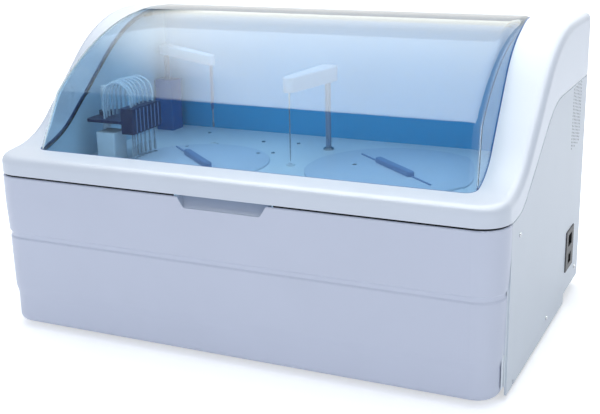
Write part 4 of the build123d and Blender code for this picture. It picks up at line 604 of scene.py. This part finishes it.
NODE_FINISH = {
    "base_tray": ZINC,
    "rubber_feet": RUBBER,
    "chassis_frame": FRAME_PAINT,
    "front_panel": FRONT_ABS,
    "right_side_panel": VENTED_PAINT,
    "left_side_panel": SIDE_PAINT,
    "rear_panel": SIDE_PAINT,
    "deck_plate": DECK_ABS,
    "chamber_wall": CHAMBER_SHADE_AND_LIGHT,
    "reaction_bath": ALUMINIUM,
    "spindle_housings": ALUMINIUM,
    "stepper_motors": MOTOR_PAINT,
    "drive_belts": RUBBER,
    "reaction_cover": COVER_ABS,
    "reagent_pot": TOWER_WHITE,
    "photometer": MOTOR_PAINT,
    "shaft_guides": STEEL,
    "lift_rails": STEEL,
    "mixer_tower": DARK_BLUE,
    "wash_tower": TOWER_WHITE,
    "rinse_wells": TOWER_WHITE,
    "dosing_pump": ALUMINIUM,
    "power_supply": ZINC,
    "control_board": BOARD,
    "pump_block": MOTOR_PAINT,
    "mains_inlet": BLACK_ABS,
    "fan_frame": BLACK_ABS,
    "hose_ports": BRASS,
    "hinge_base_leaves": STEEL,
    "hinge_pins": STEEL,
    "strut_feet": ZINC,
    "case_screws": STEEL,
    "lid_shell": CASE_ABS,
    "window": WINDOW_BLUE,
    "window_gasket": GASKET_BLUE,
    "hinge_lid_leaves": STEEL,
    "strut_heads": ZINC,
    "lid_bumpers": RUBBER,
    "strut_cylinders": MOTOR_PAINT,
    "strut_rods": STEEL,
    "reaction_disk": ALUMINIUM,
    "cuvettes": CLEAR_CUP,
    "reaction_motor_pulley": STEEL,
    "reagent_disk": ALUMINIUM,
    "reagent_bottles": BOTTLE,
    "sample_cups": CLEAR_CUP,
    "reagent_motor_pulley": STEEL,
    "reagent_cover": COVER_ABS,
    "probe_carriage": ALUMINIUM,
    "probe_arm": PROBE_ARM_ABS,
    "probe_needle": STEEL,
    "mixer_carriage": ALUMINIUM,
    "mixer_arm": MIXER_ARM_ABS,
    "mixer_paddle": STEEL,
    "wash_head": NAVY,
    "wash_nozzles": STEEL,
    "wash_tubes": CLEAR_HOSE,
    "dosing_plunger": STEEL,
    "fan_rotor": BLACK_ABS,
    "power_rocker": BLACK_ABS,
}


@dataclass(frozen=True)
class Softbox:
    """One soft rectangular lamp, with its places and its size in metres."""

    name: str
    stand: Point
    target: Point
    size: Pair
    watts: float
    colour: str = "FFFFFF"

    def build(self) -> None:
        """Hang the lamp so that it faces its target and no mirror ray sees it."""
        data = bpy.data.lights.new(self.name, "AREA")
        data.shape = "RECTANGLE"
        data.size, data.size_y = self.size
        data.energy = self.watts
        data.color = linear(self.colour)[:3]
        lamp = bpy.data.objects.new(self.name, data)
        lamp.visible_glossy = False
        bpy.context.scene.collection.objects.link(lamp)
        ahead = (Vector(self.target) - Vector(self.stand)).normalized()
        turn = ahead.to_track_quat("-Z", "Y").to_matrix().to_4x4()
        lamp.matrix_world = Matrix.Translation(self.stand) @ turn


SOFTBOXES = (
    Softbox("overhead_softbox", (-0.4, 0.7, 2.3), (-0.4, 0.7, 0.0), (3.0, 2.4), 44.0),
    Softbox("right_softbox", (2.0, -1.7, 0.9), (0.35, -0.2, 0.25), (1.4, 1.2), 6.5),
    Softbox("front_softbox", (-0.6, -2.8, 0.9), (0.0, 0.0, 0.2), (1.8, 1.0), 10.8, "F0F3FF"),
)


@dataclass
class Studio:
    """Camera, lamps, world, floor and reflection card of the photograph's view.

    Places are in metres in the part's frame and angles are in radians. The card's box is its
    left, right, front and rear edge and its height. Each fade is where a light level starts
    and ends to change, and each light is the level before and after it.
    """

    stand: Point = (0.7705, -1.6510, 0.7244)
    yaw: float = 0.439
    pitch: float = 0.2918
    roll: float = -0.0198
    lens_mm: float = 65.36
    sensor_mm: float = 36.0
    nearest: float = 0.05
    sky: str = "D9E6F6"
    sky_light: float = 0.5
    floor_colour: str = "F4F5F7"
    floor_half: float = 6.0
    floor_fade: Pair = (0.4, 1.6)
    floor_light: Pair = (0.45, 1.0)
    card_colour: str = "FDFFF8"
    card_box: tuple[float, float, float, float, float] = (-5.0, 2.0, -3.6, 6.5, 2.3)
    card_fade: Pair = (-0.5, 2.8)
    card_light: Pair = (7.0, 2.6)
    card_side: Pair = (-1.55, -0.95)
    card_side_light: Pair = (0.03, 1.0)
    card_skew: float = 0.45
    veil_edge: float = -1.15
    room_fade: Pair = (-3.5, -2.8)
    room_light: Pair = (1.0, 0.0)

    def aim(self) -> Matrix:
        """Work out the camera's rotation from its angles.

        Returns:
            The rotation, as a matrix of four by four.
        """
        ahead = Vector(
            (
                -math.sin(self.yaw) * math.cos(self.pitch),
                math.cos(self.yaw) * math.cos(self.pitch),
                -math.sin(self.pitch),
            )
        )
        level = Vector((math.cos(self.yaw), math.sin(self.yaw), 0.0))
        top = level.cross(ahead)
        right = level * math.cos(self.roll) + top * math.sin(self.roll)
        up = right.cross(ahead)
        return Matrix((right, up, -ahead)).transposed().to_4x4()

    def camera(self) -> None:
        """Set the camera at the photograph's angle."""
        data = bpy.data.cameras.new("camera")
        data.lens = self.lens_mm
        data.sensor_width = self.sensor_mm
        data.sensor_fit = "HORIZONTAL"
        data.clip_start = self.nearest
        camera = bpy.data.objects.new("camera", data)
        bpy.context.scene.collection.objects.link(camera)
        camera.matrix_world = Matrix.Translation(self.stand) @ self.aim()
        bpy.context.scene.camera = camera

    def backdrop_share(self, tree: bpy.types.NodeTree) -> bpy.types.NodeSocket:
        """Give one where the camera or a mirror or glass ray looks, else nought.

        Args:
            tree: The node tree that asks.

        Returns:
            The share as a socket.
        """
        rays = add_node(tree, "ShaderNodeLightPath").outputs
        share = rays["Is Camera Ray"]
        for kind in ("Is Glossy Ray", "Is Transmission Ray"):
            either = add_node(
                tree, "ShaderNodeMath", {0: share, 1: rays[kind]}, operation="MAXIMUM"
            )
            share = either.outputs[0]
        return share

    def world(self) -> None:
        """Light the object evenly and show a white surround."""
        world = bpy.data.worlds.new("surround")
        world.use_nodes = True
        tree = world.node_tree
        tree.nodes.clear()
        soft = add_node(
            tree,
            "ShaderNodeBackground",
            {"Color": linear(self.sky), "Strength": self.sky_light},
        )
        white = add_node(tree, "ShaderNodeBackground", {"Color": (1, 1, 1, 1), "Strength": 1.0})
        mix = add_node(
            tree,
            "ShaderNodeMixShader",
            {0: self.backdrop_share(tree), 1: soft.outputs[0], 2: white.outputs[0]},
        )
        out = add_node(tree, "ShaderNodeOutputWorld")
        tree.links.new(mix.outputs[0], out.inputs["Surface"])
        bpy.context.scene.world = world

    def floor(self) -> None:
        """Lay the pale floor, which glows to white away from the analyzer."""
        mesh = bpy.data.meshes.new("floor")
        grid = bmesh.new()
        bmesh.ops.create_grid(grid, x_segments=1, y_segments=1, size=self.floor_half)
        grid.to_mesh(mesh)
        grid.free()
        floor = bpy.data.objects.new("floor", mesh)
        bpy.context.scene.collection.objects.link(floor)
        material, tree, out = new_material("floor_white")
        matt = add_node(tree, "ShaderNodeBsdfDiffuse", {"Color": linear(self.floor_colour)})
        spot = add_node(tree, "ShaderNodeTexCoord").outputs["Object"]
        away = add_node(tree, "ShaderNodeVectorMath", {0: spot}, operation="LENGTH")
        brightening = add_node(
            tree,
            "ShaderNodeMapRange",
            {
                "Value": away.outputs["Value"],
                "From Min": self.floor_fade[0],
                "From Max": self.floor_fade[1],
                "To Min": self.floor_light[0],
                "To Max": self.floor_light[1],
            },
        )
        glow = add_node(
            tree,
            "ShaderNodeEmission",
            {"Color": (1, 1, 1, 1), "Strength": brightening.outputs["Result"]},
        )
        both = add_node(tree, "ShaderNodeAddShader", {0: matt.outputs[0], 1: glow.outputs[0]})
        mix = add_node(
            tree,
            "ShaderNodeMixShader",
            {0: self.backdrop_share(tree), 1: matt.outputs[0], 2: both.outputs[0]},
        )
        tree.links.new(mix.outputs[0], out.inputs["Surface"])
        mesh.materials.append(material)

    def card_level(self, tree: bpy.types.NodeTree) -> bpy.types.NodeSocket:
        """Work out how bright the reflection card is at each place.

        It is brightest over the steep front of the dome and fades to the rear, where the
        window is seen at a flatter angle and mirrors more. The left side is dark, along a
        slanting edge. Ahead of its sharp front edge the ceiling is dark, so the front of the
        window stays clear, and the room brightens again further forward.

        Args:
            tree: The card's node tree.

        Returns:
            The light level.
        """
        spot = add_node(tree, "ShaderNodeTexCoord").outputs["Object"]
        axes = add_node(tree, "ShaderNodeSeparateXYZ", {0: spot}).outputs
        behind = add_node(tree, "ShaderNodeMath", {0: axes[1], 1: 0.0}, operation="MAXIMUM")
        skewed = add_node(
            tree,
            "ShaderNodeMath",
            {0: behind.outputs[0], 1: self.card_skew, 2: axes[0]},
            operation="MULTIPLY_ADD",
        )
        levels = []
        for value, fade, light in (
            (axes[1], self.card_fade, self.card_light),
            (skewed.outputs[0], self.card_side, self.card_side_light),
            (axes[1], self.room_fade, self.room_light),
        ):
            change = add_node(
                tree,
                "ShaderNodeMapRange",
                {
                    "Value": value,
                    "From Min": fade[0],
                    "From Max": fade[1],
                    "To Min": light[0],
                    "To Max": light[1],
                },
                interpolation_type="SMOOTHSTEP",
            )
            levels.append(change.outputs["Result"])
        back, across, room = levels
        veil = add_node(tree, "ShaderNodeMath", {0: back, 1: across}, operation="MULTIPLY")
        over_dome = add_node(
            tree, "ShaderNodeMath", {0: axes[1], 1: self.veil_edge}, operation="GREATER_THAN"
        )
        level = add_node(
            tree,
            "ShaderNodeMix",
            {MIX_FACTOR: over_dome.outputs[0], MIX_FLOAT_A: room, MIX_FLOAT_B: veil.outputs[0]},
            data_type="FLOAT",
        )
        return level.outputs[MIX_FLOAT_RESULT]

    def reflection_card(self) -> None:
        """Hang the soft card that the polished window mirrors, seen by mirror rays only."""
        left, right, front, rear, height = self.card_box
        mesh = bpy.data.meshes.new("reflection_card")
        corners = ((left, front), (left, rear), (right, rear), (right, front))
        mesh.from_pydata([(x, y, height) for x, y in corners], [], [(0, 1, 2, 3)])
        card = bpy.data.objects.new("reflection_card", mesh)
        bpy.context.scene.collection.objects.link(card)
        material, tree, out = new_material("card_glow")
        glow = add_node(
            tree,
            "ShaderNodeEmission",
            {"Color": linear(self.card_colour), "Strength": self.card_level(tree)},
        )
        tree.links.new(glow.outputs[0], out.inputs["Surface"])
        material.cycles.emission_sampling = "NONE"
        mesh.materials.append(material)
        card.visible_camera = False
        card.visible_diffuse = False
        card.visible_shadow = False
        card.visible_transmission = False

    def build(self) -> None:
        """Set up the whole studio."""
        self.camera()
        self.world()
        self.floor()
        self.reflection_card()
        for softbox in SOFTBOXES:
            softbox.build()


def object_from(name: str, grid: bmesh.types.BMesh) -> bpy.types.Object:
    """Turn a bmesh into an object at the origin.

    Args:
        name: The piece's name.
        grid: The finished bmesh, which is freed.

    Returns:
        The new object.
    """
    mesh = bpy.data.meshes.new(name)
    grid.to_mesh(mesh)
    grid.free()
    piece = bpy.data.objects.new(name, mesh)
    bpy.context.scene.collection.objects.link(piece)
    return piece


def loft(name: str, rings: list[list[Point]]) -> bpy.types.Object:
    """Make a closed skin over rings of points, with its two ends filled.

    Args:
        name: The piece's name.
        rings: Rings of the same number of points, anticlockwise seen from the last one.

    Returns:
        The new object.
    """
    grid = bmesh.new()
    rows = [[grid.verts.new(point) for point in ring] for ring in rings]
    count = len(rows[0])
    for low, high in zip(rows, rows[1:]):
        for i in range(count):
            j = (i + 1) % count
            grid.faces.new((low[i], low[j], high[j], high[i]))
    grid.faces.new(list(reversed(rows[0])))
    grid.faces.new(rows[-1])
    bmesh.ops.recalc_face_normals(grid, faces=grid.faces)
    return object_from(name, grid)


def box_piece(name: str, low: Point, high: Point, edge: float) -> bpy.types.Object:
    """Make a box with bevelled edges between two corners.

    Args:
        name: The piece's name.
        low: Its lowest corner, in metres.
        high: Its highest corner, in metres.
        edge: The bevel's width, in metres.

    Returns:
        The new object.
    """
    grid = bmesh.new()
    bmesh.ops.create_cube(grid, size=1.0)
    for vert in grid.verts:
        for i in range(3):
            vert.co[i] = low[i] if vert.co[i] < 0 else high[i]
    bmesh.ops.bevel(
        grid,
        geom=list(grid.edges),
        offset=edge,
        segments=BEVEL_SEGMENTS,
        profile=BEVEL_PROFILE,
        affect="EDGES",
        material=KEEP_MATERIAL,
    )
    return object_from(name, grid)


def join(name: str, pieces: list[bpy.types.Object]) -> bpy.types.Object:
    """Gather several pieces' meshes in one object.

    Args:
        name: The joined piece's name.
        pieces: The objects, which are removed.

    Returns:
        The joined object.
    """
    grid = bmesh.new()
    for piece in pieces:
        grid.from_mesh(piece.data)
        mesh = piece.data
        bpy.data.objects.remove(piece)
        bpy.data.meshes.remove(mesh)
    return object_from(name, grid)


def finish_piece(
    piece: bpy.types.Object, material: bpy.types.Material, body: str
) -> None:
    """Give a new piece its finish, its shading and the body that it rides on.

    Args:
        piece: The new object.
        material: Its finish.
        body: The body that it rides on.
    """
    piece.data.materials.append(material)
    piece.data.shade_smooth()
    piece.data.set_sharp_from_angle(angle=math.radians(SHARP_DEGREES))
    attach(piece, body)
    LOG.info("built %s on %s", piece.name, body)


@dataclass
class PanScrews:
    """Pan-head machine screws with a cross recess, in place of plain screw heads.

    Lengths are in millimetres. The dome's rows are each a share of the head's radius and how
    far down the crown the row lies, as a share of the crown.
    """

    radius: float = 3.6
    height: float = 1.8
    crown: float = 0.75
    dome: tuple[Pair, ...] = ((1.0, 1.0), (0.97, 0.55), (0.86, 0.2), (0.66, 0.0))
    recess_arm: float = 2.0
    recess_waist: float = 0.72
    recess_core: float = 0.75
    recess_depth: float = 1.1
    recess_floor: float = 0.55
    points: int = 48
    weld: float = 0.01
    least_sine: float = 1e-6

    def reach(self, turn: float) -> float:
        """Work out how far the cross recess reaches in one direction.

        Args:
            turn: The direction, in radians.

        Returns:
            The distance from the head's axis, in millimetres.
        """
        from_arm = abs((turn + math.pi / 4) % (math.pi / 2) - math.pi / 4)
        along = self.recess_waist / 2 / max(math.sin(from_arm), self.least_sine)
        return min(self.recess_arm, max(along, self.recess_waist * self.recess_core))

    def rings(self) -> list[list[Point]]:
        """Work out the head's rings about its own axis.

        Returns:
            Rings from the seat over the dome to the recess's floor, in millimetres.
        """
        turns = round_turns(self.points)
        rows = [[(self.radius, 0.0) for _ in turns]]
        for share, down in self.dome:
            rows.append([(self.radius * share, self.height - self.crown * down) for _ in turns])
        for share, down in ((1.0, 0.0), (self.recess_floor, self.recess_depth)):
            rows.append([(self.reach(t) * share, self.height - down) for t in turns])
        return [
            [(r * math.cos(t), r * math.sin(t), z) for t, (r, z) in zip(turns, row)]
            for row in rows
        ]

    def head(self, name: str, seat: Vector, axis: Vector) -> bpy.types.Object:
        """Build one head.

        Args:
            name: The piece's name.
            seat: The middle of its seat, in metres.
            axis: The direction that it faces.

        Returns:
            The new object.
        """
        turn = axis.to_track_quat("Z", "Y").to_matrix()
        return loft(
            name, [[tuple(seat + turn @ Vector(p) * MM) for p in ring] for ring in self.rings()]
        )

    def seats(self, node: bpy.types.Object) -> list[tuple[Vector, Vector]]:
        """Find each packed screw's seat and axis from its separate shell.

        Args:
            node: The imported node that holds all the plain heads.

        Returns:
            Pairs of the seat's middle and the outward axis.
        """
        grid = bmesh.new()
        grid.from_mesh(node.data)
        bmesh.ops.remove_doubles(grid, verts=grid.verts, dist=self.weld * MM)
        left, seats = set(grid.verts), []
        while left:
            shell, edge = set(), {next(iter(left))}
            while edge:
                shell |= edge
                edge = {e.other_vert(v) for v in edge for e in v.link_edges} - shell
            left -= shell
            low = Vector([min(v.co[i] for v in shell) for i in range(3)])
            high = Vector([max(v.co[i] for v in shell) for i in range(3)])
            size, middle = high - low, (low + high) / 2
            thin = min(range(3), key=lambda i: size[i])
            axis = Vector([0.0, 0.0, 0.0])
            axis[thin] = -1.0 if thin == 0 and middle.x < 0 else 1.0
            seats.append((middle - axis * size[thin] / 2, axis))
        grid.free()
        return seats

    def build(self, finishes: Finishes, frame: dict) -> None:
        """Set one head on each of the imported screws.

        Args:
            finishes: The finishes made so far.
        """
        heads = []
        for seat, axis in self.seats(frame["nodes"]["case_screws"]):
            heads.append(self.head(f"head_{len(heads)}", seat, axis))
        screws = join("pan_head_screws", heads)
        finish_piece(screws, finishes.get(STEEL), "base")
        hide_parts("case_screws")


@dataclass
class LidSeamShade:
    """Near-black strips behind the lid's lower edge, which close the seam to light. Their
    near-black colour is painted shade for the dark seam.

    Lengths are in millimetres. The inner end lies beside the finger recess, and the corner is
    the middle of the case's rounded front corner.
    """

    front: float = 5.0
    thickness: float = 3.5
    low: float = 257.0
    high: float = 262.4
    inner: float = 85.5
    corner_x: float = 386.0
    corner_y: float = 44.0
    steps: int = 16

    def plan(self, depth: float, side: int) -> list[Pair]:
        """Plan a line from the recess round the corner to the side.

        Args:
            depth: How far behind the case's face it runs.
            side: -1 for the left and 1 for the right.

        Returns:
            Its points as x and y.
        """
        points = [(side * self.inner, depth)]
        radius = self.corner_y - depth
        for i in range(self.steps + 1):
            turn = math.pi / 2 * i / self.steps
            x = self.corner_x + radius * math.sin(turn)
            points.append((side * x, self.corner_y - radius * math.cos(turn)))
        return points

    def build(self, finishes: Finishes) -> None:
        """Lay a strip on each side of the finger recess.

        Args:
            finishes: The finishes made so far.
        """
        strips = []
        for side in (-1, 1):
            outer = self.plan(self.front, side)
            inner = self.plan(self.front + self.thickness, side)
            rings = []
            for near, far in zip(outer, inner):
                lower = [place(*near, self.low), place(*far, self.low)]
                rings.append(lower + [place(*far, self.high), place(*near, self.high)])
            strips.append(loft(f"strip_{side}", rings))
        finish_piece(join("lid_seam_shade", strips), finishes.get(SHADE_BLACK), "base")


@dataclass
class SeamHighlightStrips:
    """White strips that fill the curved seam between each side panel and the lid, a painted
    highlight for the bright line along the seam.

    Lengths are in millimetres and the slope is in degrees. The knee and the shoulder are the
    seam's two corners, each as y, z and the radius that rounds it.
    """

    face: float = 429.3
    depth: float = 4.0
    half_gap: float = 1.4
    front: float = 50.0
    rear: float = 540.0
    knee: Point = (105.5, 260.25, 101.75)
    shoulder: Point = (296.5, 384.25, 168.25)
    slope: float = 33.0
    steps: int = 14

    def bend(self, corner: Point, falling: bool) -> list[Point]:
        """Round one corner of the seam.

        Args:
            corner: The corner's y, z and radius.
            falling: Whether the seam levels out there.

        Returns:
            Points as y, z and the seam's angle in radians.
        """
        y, z, radius = corner
        full = math.radians(self.slope)
        reach = radius * math.tan(full / 2)
        start_y, start_z = y - reach * math.cos(full), z - reach * math.sin(full)
        points = []
        for i in range(self.steps + 1):
            turn = full * i / self.steps
            if falling:
                angle = full - turn
                py = start_y + radius * (math.sin(full) - math.sin(angle))
                pz = start_z + radius * (math.cos(angle) - math.cos(full))
            else:
                angle = turn
                py = y - reach + radius * math.sin(turn)
                pz = z + radius * (1 - math.cos(turn))
            points.append((py, pz, angle))
        return points

    def build(self, finishes: Finishes) -> None:
        """Fit a strip on both sides.

        Args:
            finishes: The finishes made so far.
        """
        line = [(self.front, self.knee[1], 0.0)]
        line += self.bend(self.knee, False) + self.bend(self.shoulder, True)
        line.append((self.rear, self.shoulder[1], 0.0))
        strips = []
        for side in (-1, 1):
            outer, inner = side * self.face, side * (self.face - self.depth)
            section = ((outer, -1), (outer, 1), (inner, 1), (inner, -1))
            rings = []
            for y, z, angle in line:
                dy, dz = -math.sin(angle) * self.half_gap, math.cos(angle) * self.half_gap
                rings.append([place(x, y + way * dy, z + way * dz) for x, way in section])
            strips.append(loft(f"seam_{side}", rings))
        finish_piece(join("seam_highlight_strips", strips), finishes.get(STRIP_WHITE), "base")


@dataclass
class CornerStrips:
    """Pale strips behind the upright seams between the front panel and the side panels.

    Lengths are in millimetres. Each strip has a foot that reaches further forward and in.
    """

    front: float = 46.2
    rear: float = 49.6
    face: float = 427.4
    depth: float = 1.6
    low: float = 14.0
    high: float = 250.0
    foot_front: float = 38.0
    foot_face: float = 425.6
    foot_high: float = 96.0
    edge: float = 0.3

    def build(self, finishes: Finishes) -> None:
        """Fit a strip with its foot on both sides.

        Args:
            finishes: The finishes made so far.
        """
        strips = []
        for side in (-1, 1):
            for face, front, top in (
                (self.face, self.front, self.high),
                (self.foot_face, self.foot_front, self.foot_high),
            ):
                left, right = sorted((side * face, side * (face - self.depth)))
                low, high = place(left, front, self.low), place(right, self.rear, top)
                strips.append(box_piece(f"corner_{len(strips)}", low, high, self.edge * MM))
        whole = join("corner_strips", strips)
        finish_piece(whole, finishes.get(STRIP_WHITE), "base")


@dataclass
class VentShadePad:
    """Near-black pad behind the air vent in the right-hand panel, a dark sheet set there as
    painted shade for the vent holes.

    Lengths are in millimetres. The vent's holes lie between front and rear, and low and high.
    """

    margin: float = 6.0
    thickness: float = 6.0
    panel_inside: float = 426.3
    front: float = 438.0
    rear: float = 498.0
    low: float = 276.0
    high: float = 379.6
    edge: float = 1.0

    def build(self, finishes: Finishes) -> None:
        """Set the pad against the inside of the panel.

        Args:
            finishes: The finishes made so far.
        """
        inside, margin = self.panel_inside, self.margin
        low = place(inside - self.thickness, self.front - margin, self.low - margin)
        high = place(inside, self.rear + margin, self.high + margin)
        pad = box_piece("vent_shade_pad", low, high, self.edge * MM)
        finish_piece(pad, finishes.get(SHADE_BLACK), "base")


@dataclass
class BottleCaps:
    """Ribbed screw caps of the reagent bottles.

    Lengths are in millimetres. The rim's rows are each how far below the top a row lies and
    how much narrower than the cap it is. Rows of full width have the ribs.
    """

    ring_radius: float = 116.0
    count: int = 24
    centre: Pair = (170.0, 290.0)
    radius: float = 8.0
    rib: float = 0.25
    ribs: int = 24
    low: float = 232.0
    high: float = 242.0
    rim: tuple[Pair, ...] = ((1.0, 0.0), (0.3, 0.5), (0.0, 1.2))
    points: int = 96

    def cap(self, name: str, x: float, y: float) -> bpy.types.Object:
        """Build one cap.

        Args:
            name: The piece's name.
            x: Its middle's distance to the right of the case's middle.
            y: Its middle's distance behind the case's face.

        Returns:
            The new object.
        """
        rows = []
        levels = [(self.low, 0.0)] + [(self.high - down, less) for down, less in self.rim]
        for level, less in levels:
            rib = self.rib if less == 0.0 else 0.0
            row = []
            for turn in round_turns(self.points):
                radius = self.radius - less + rib * math.cos(self.ribs * turn)
                px, py = x + radius * math.cos(turn), y + radius * math.sin(turn)
                row.append(place(px, py, level))
            rows.append(row)
        return loft(name, rows)

    def build(self, finishes: Finishes) -> None:
        """Set a cap on every bottle.

        Args:
            finishes: The finishes made so far.
        """
        caps = []
        for turn in round_turns(self.count):
            x = self.centre[0] + self.ring_radius * math.cos(turn)
            y = self.centre[1] + self.ring_radius * math.sin(turn)
            caps.append(self.cap(f"cap_{len(caps)}", x, y))
        whole = join("bottle_caps", caps)
        finish_piece(whole, finishes.get(CAP_BLUE), "reagent_turntable")


@dataclass
class FeedLines:
    """Pale feed lines that run down the face of the wash head's dark block.

    Lengths are in millimetres. Each line tapers to a share of its radius at both ends.
    """

    radius: float = 1.3
    count: int = 7
    first_y: float = 190.1
    last_y: float = 259.9
    face_x: float = -265.3
    low: float = 302.0
    high: float = 343.0
    taper: float = 1.0
    taper_share: float = 0.5
    points: int = 20

    def line(self, name: str, y: float) -> bpy.types.Object:
        """Build one line.

        Args:
            name: The piece's name.
            y: Its distance behind the case's face.

        Returns:
            The new object.
        """
        rows = []
        for level, share in (
            (self.low, self.taper_share),
            (self.low + self.taper, 1.0),
            (self.high - self.taper, 1.0),
            (self.high, self.taper_share),
        ):
            radius = self.radius * share
            row = []
            for turn in round_turns(self.points):
                across, along = radius * math.cos(turn), radius * math.sin(turn)
                row.append(place(self.face_x + across, y + along, level))
            rows.append(row)
        return loft(name, rows)

    def build(self, finishes: Finishes) -> None:
        """Lay the lines on the block's right-hand face.

        Args:
            finishes: The finishes made so far.
        """
        lines = []
        for i in range(self.count):
            y = self.first_y + (self.last_y - self.first_y) * i / (self.count - 1)
            lines.append(self.line(f"line_{i}", y))
        whole = join("wash_feed_lines", lines)
        finish_piece(whole, finishes.get(FEED_GREY), "wash_head")


def dress(frame: dict, finishes: Finishes) -> None:
    """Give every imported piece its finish.

    Args:
        finishes: The finishes made so far.
    """
    for name, node in frame["nodes"].items():
        material = finishes.get(NODE_FINISH[name])
        if not node.data.materials:
            node.data.materials.append(material)
        for slot in range(len(node.data.materials)):
            node.data.materials[slot] = material
        LOG.info("dressed %s in %s", name, material.name)


def main() -> None:
    """Build the studio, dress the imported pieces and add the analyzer's small pieces."""
    logging.basicConfig(level=logging.INFO, format="%(name)s: %(message)s")
    bpy.context.scene.view_settings.view_transform = "Standard"
    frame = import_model()
    Studio().build()
    finishes = Finishes()
    dress(frame, finishes)
    PanScrews().build(finishes, frame)
    LidSeamShade().build(finishes)
    SeamHighlightStrips().build(finishes)
    CornerStrips().build(finishes)
    VentShadePad().build(finishes)
    BottleCaps().build(finishes)
    FeedLines().build(finishes)


if __name__ == "__main__":
    main()
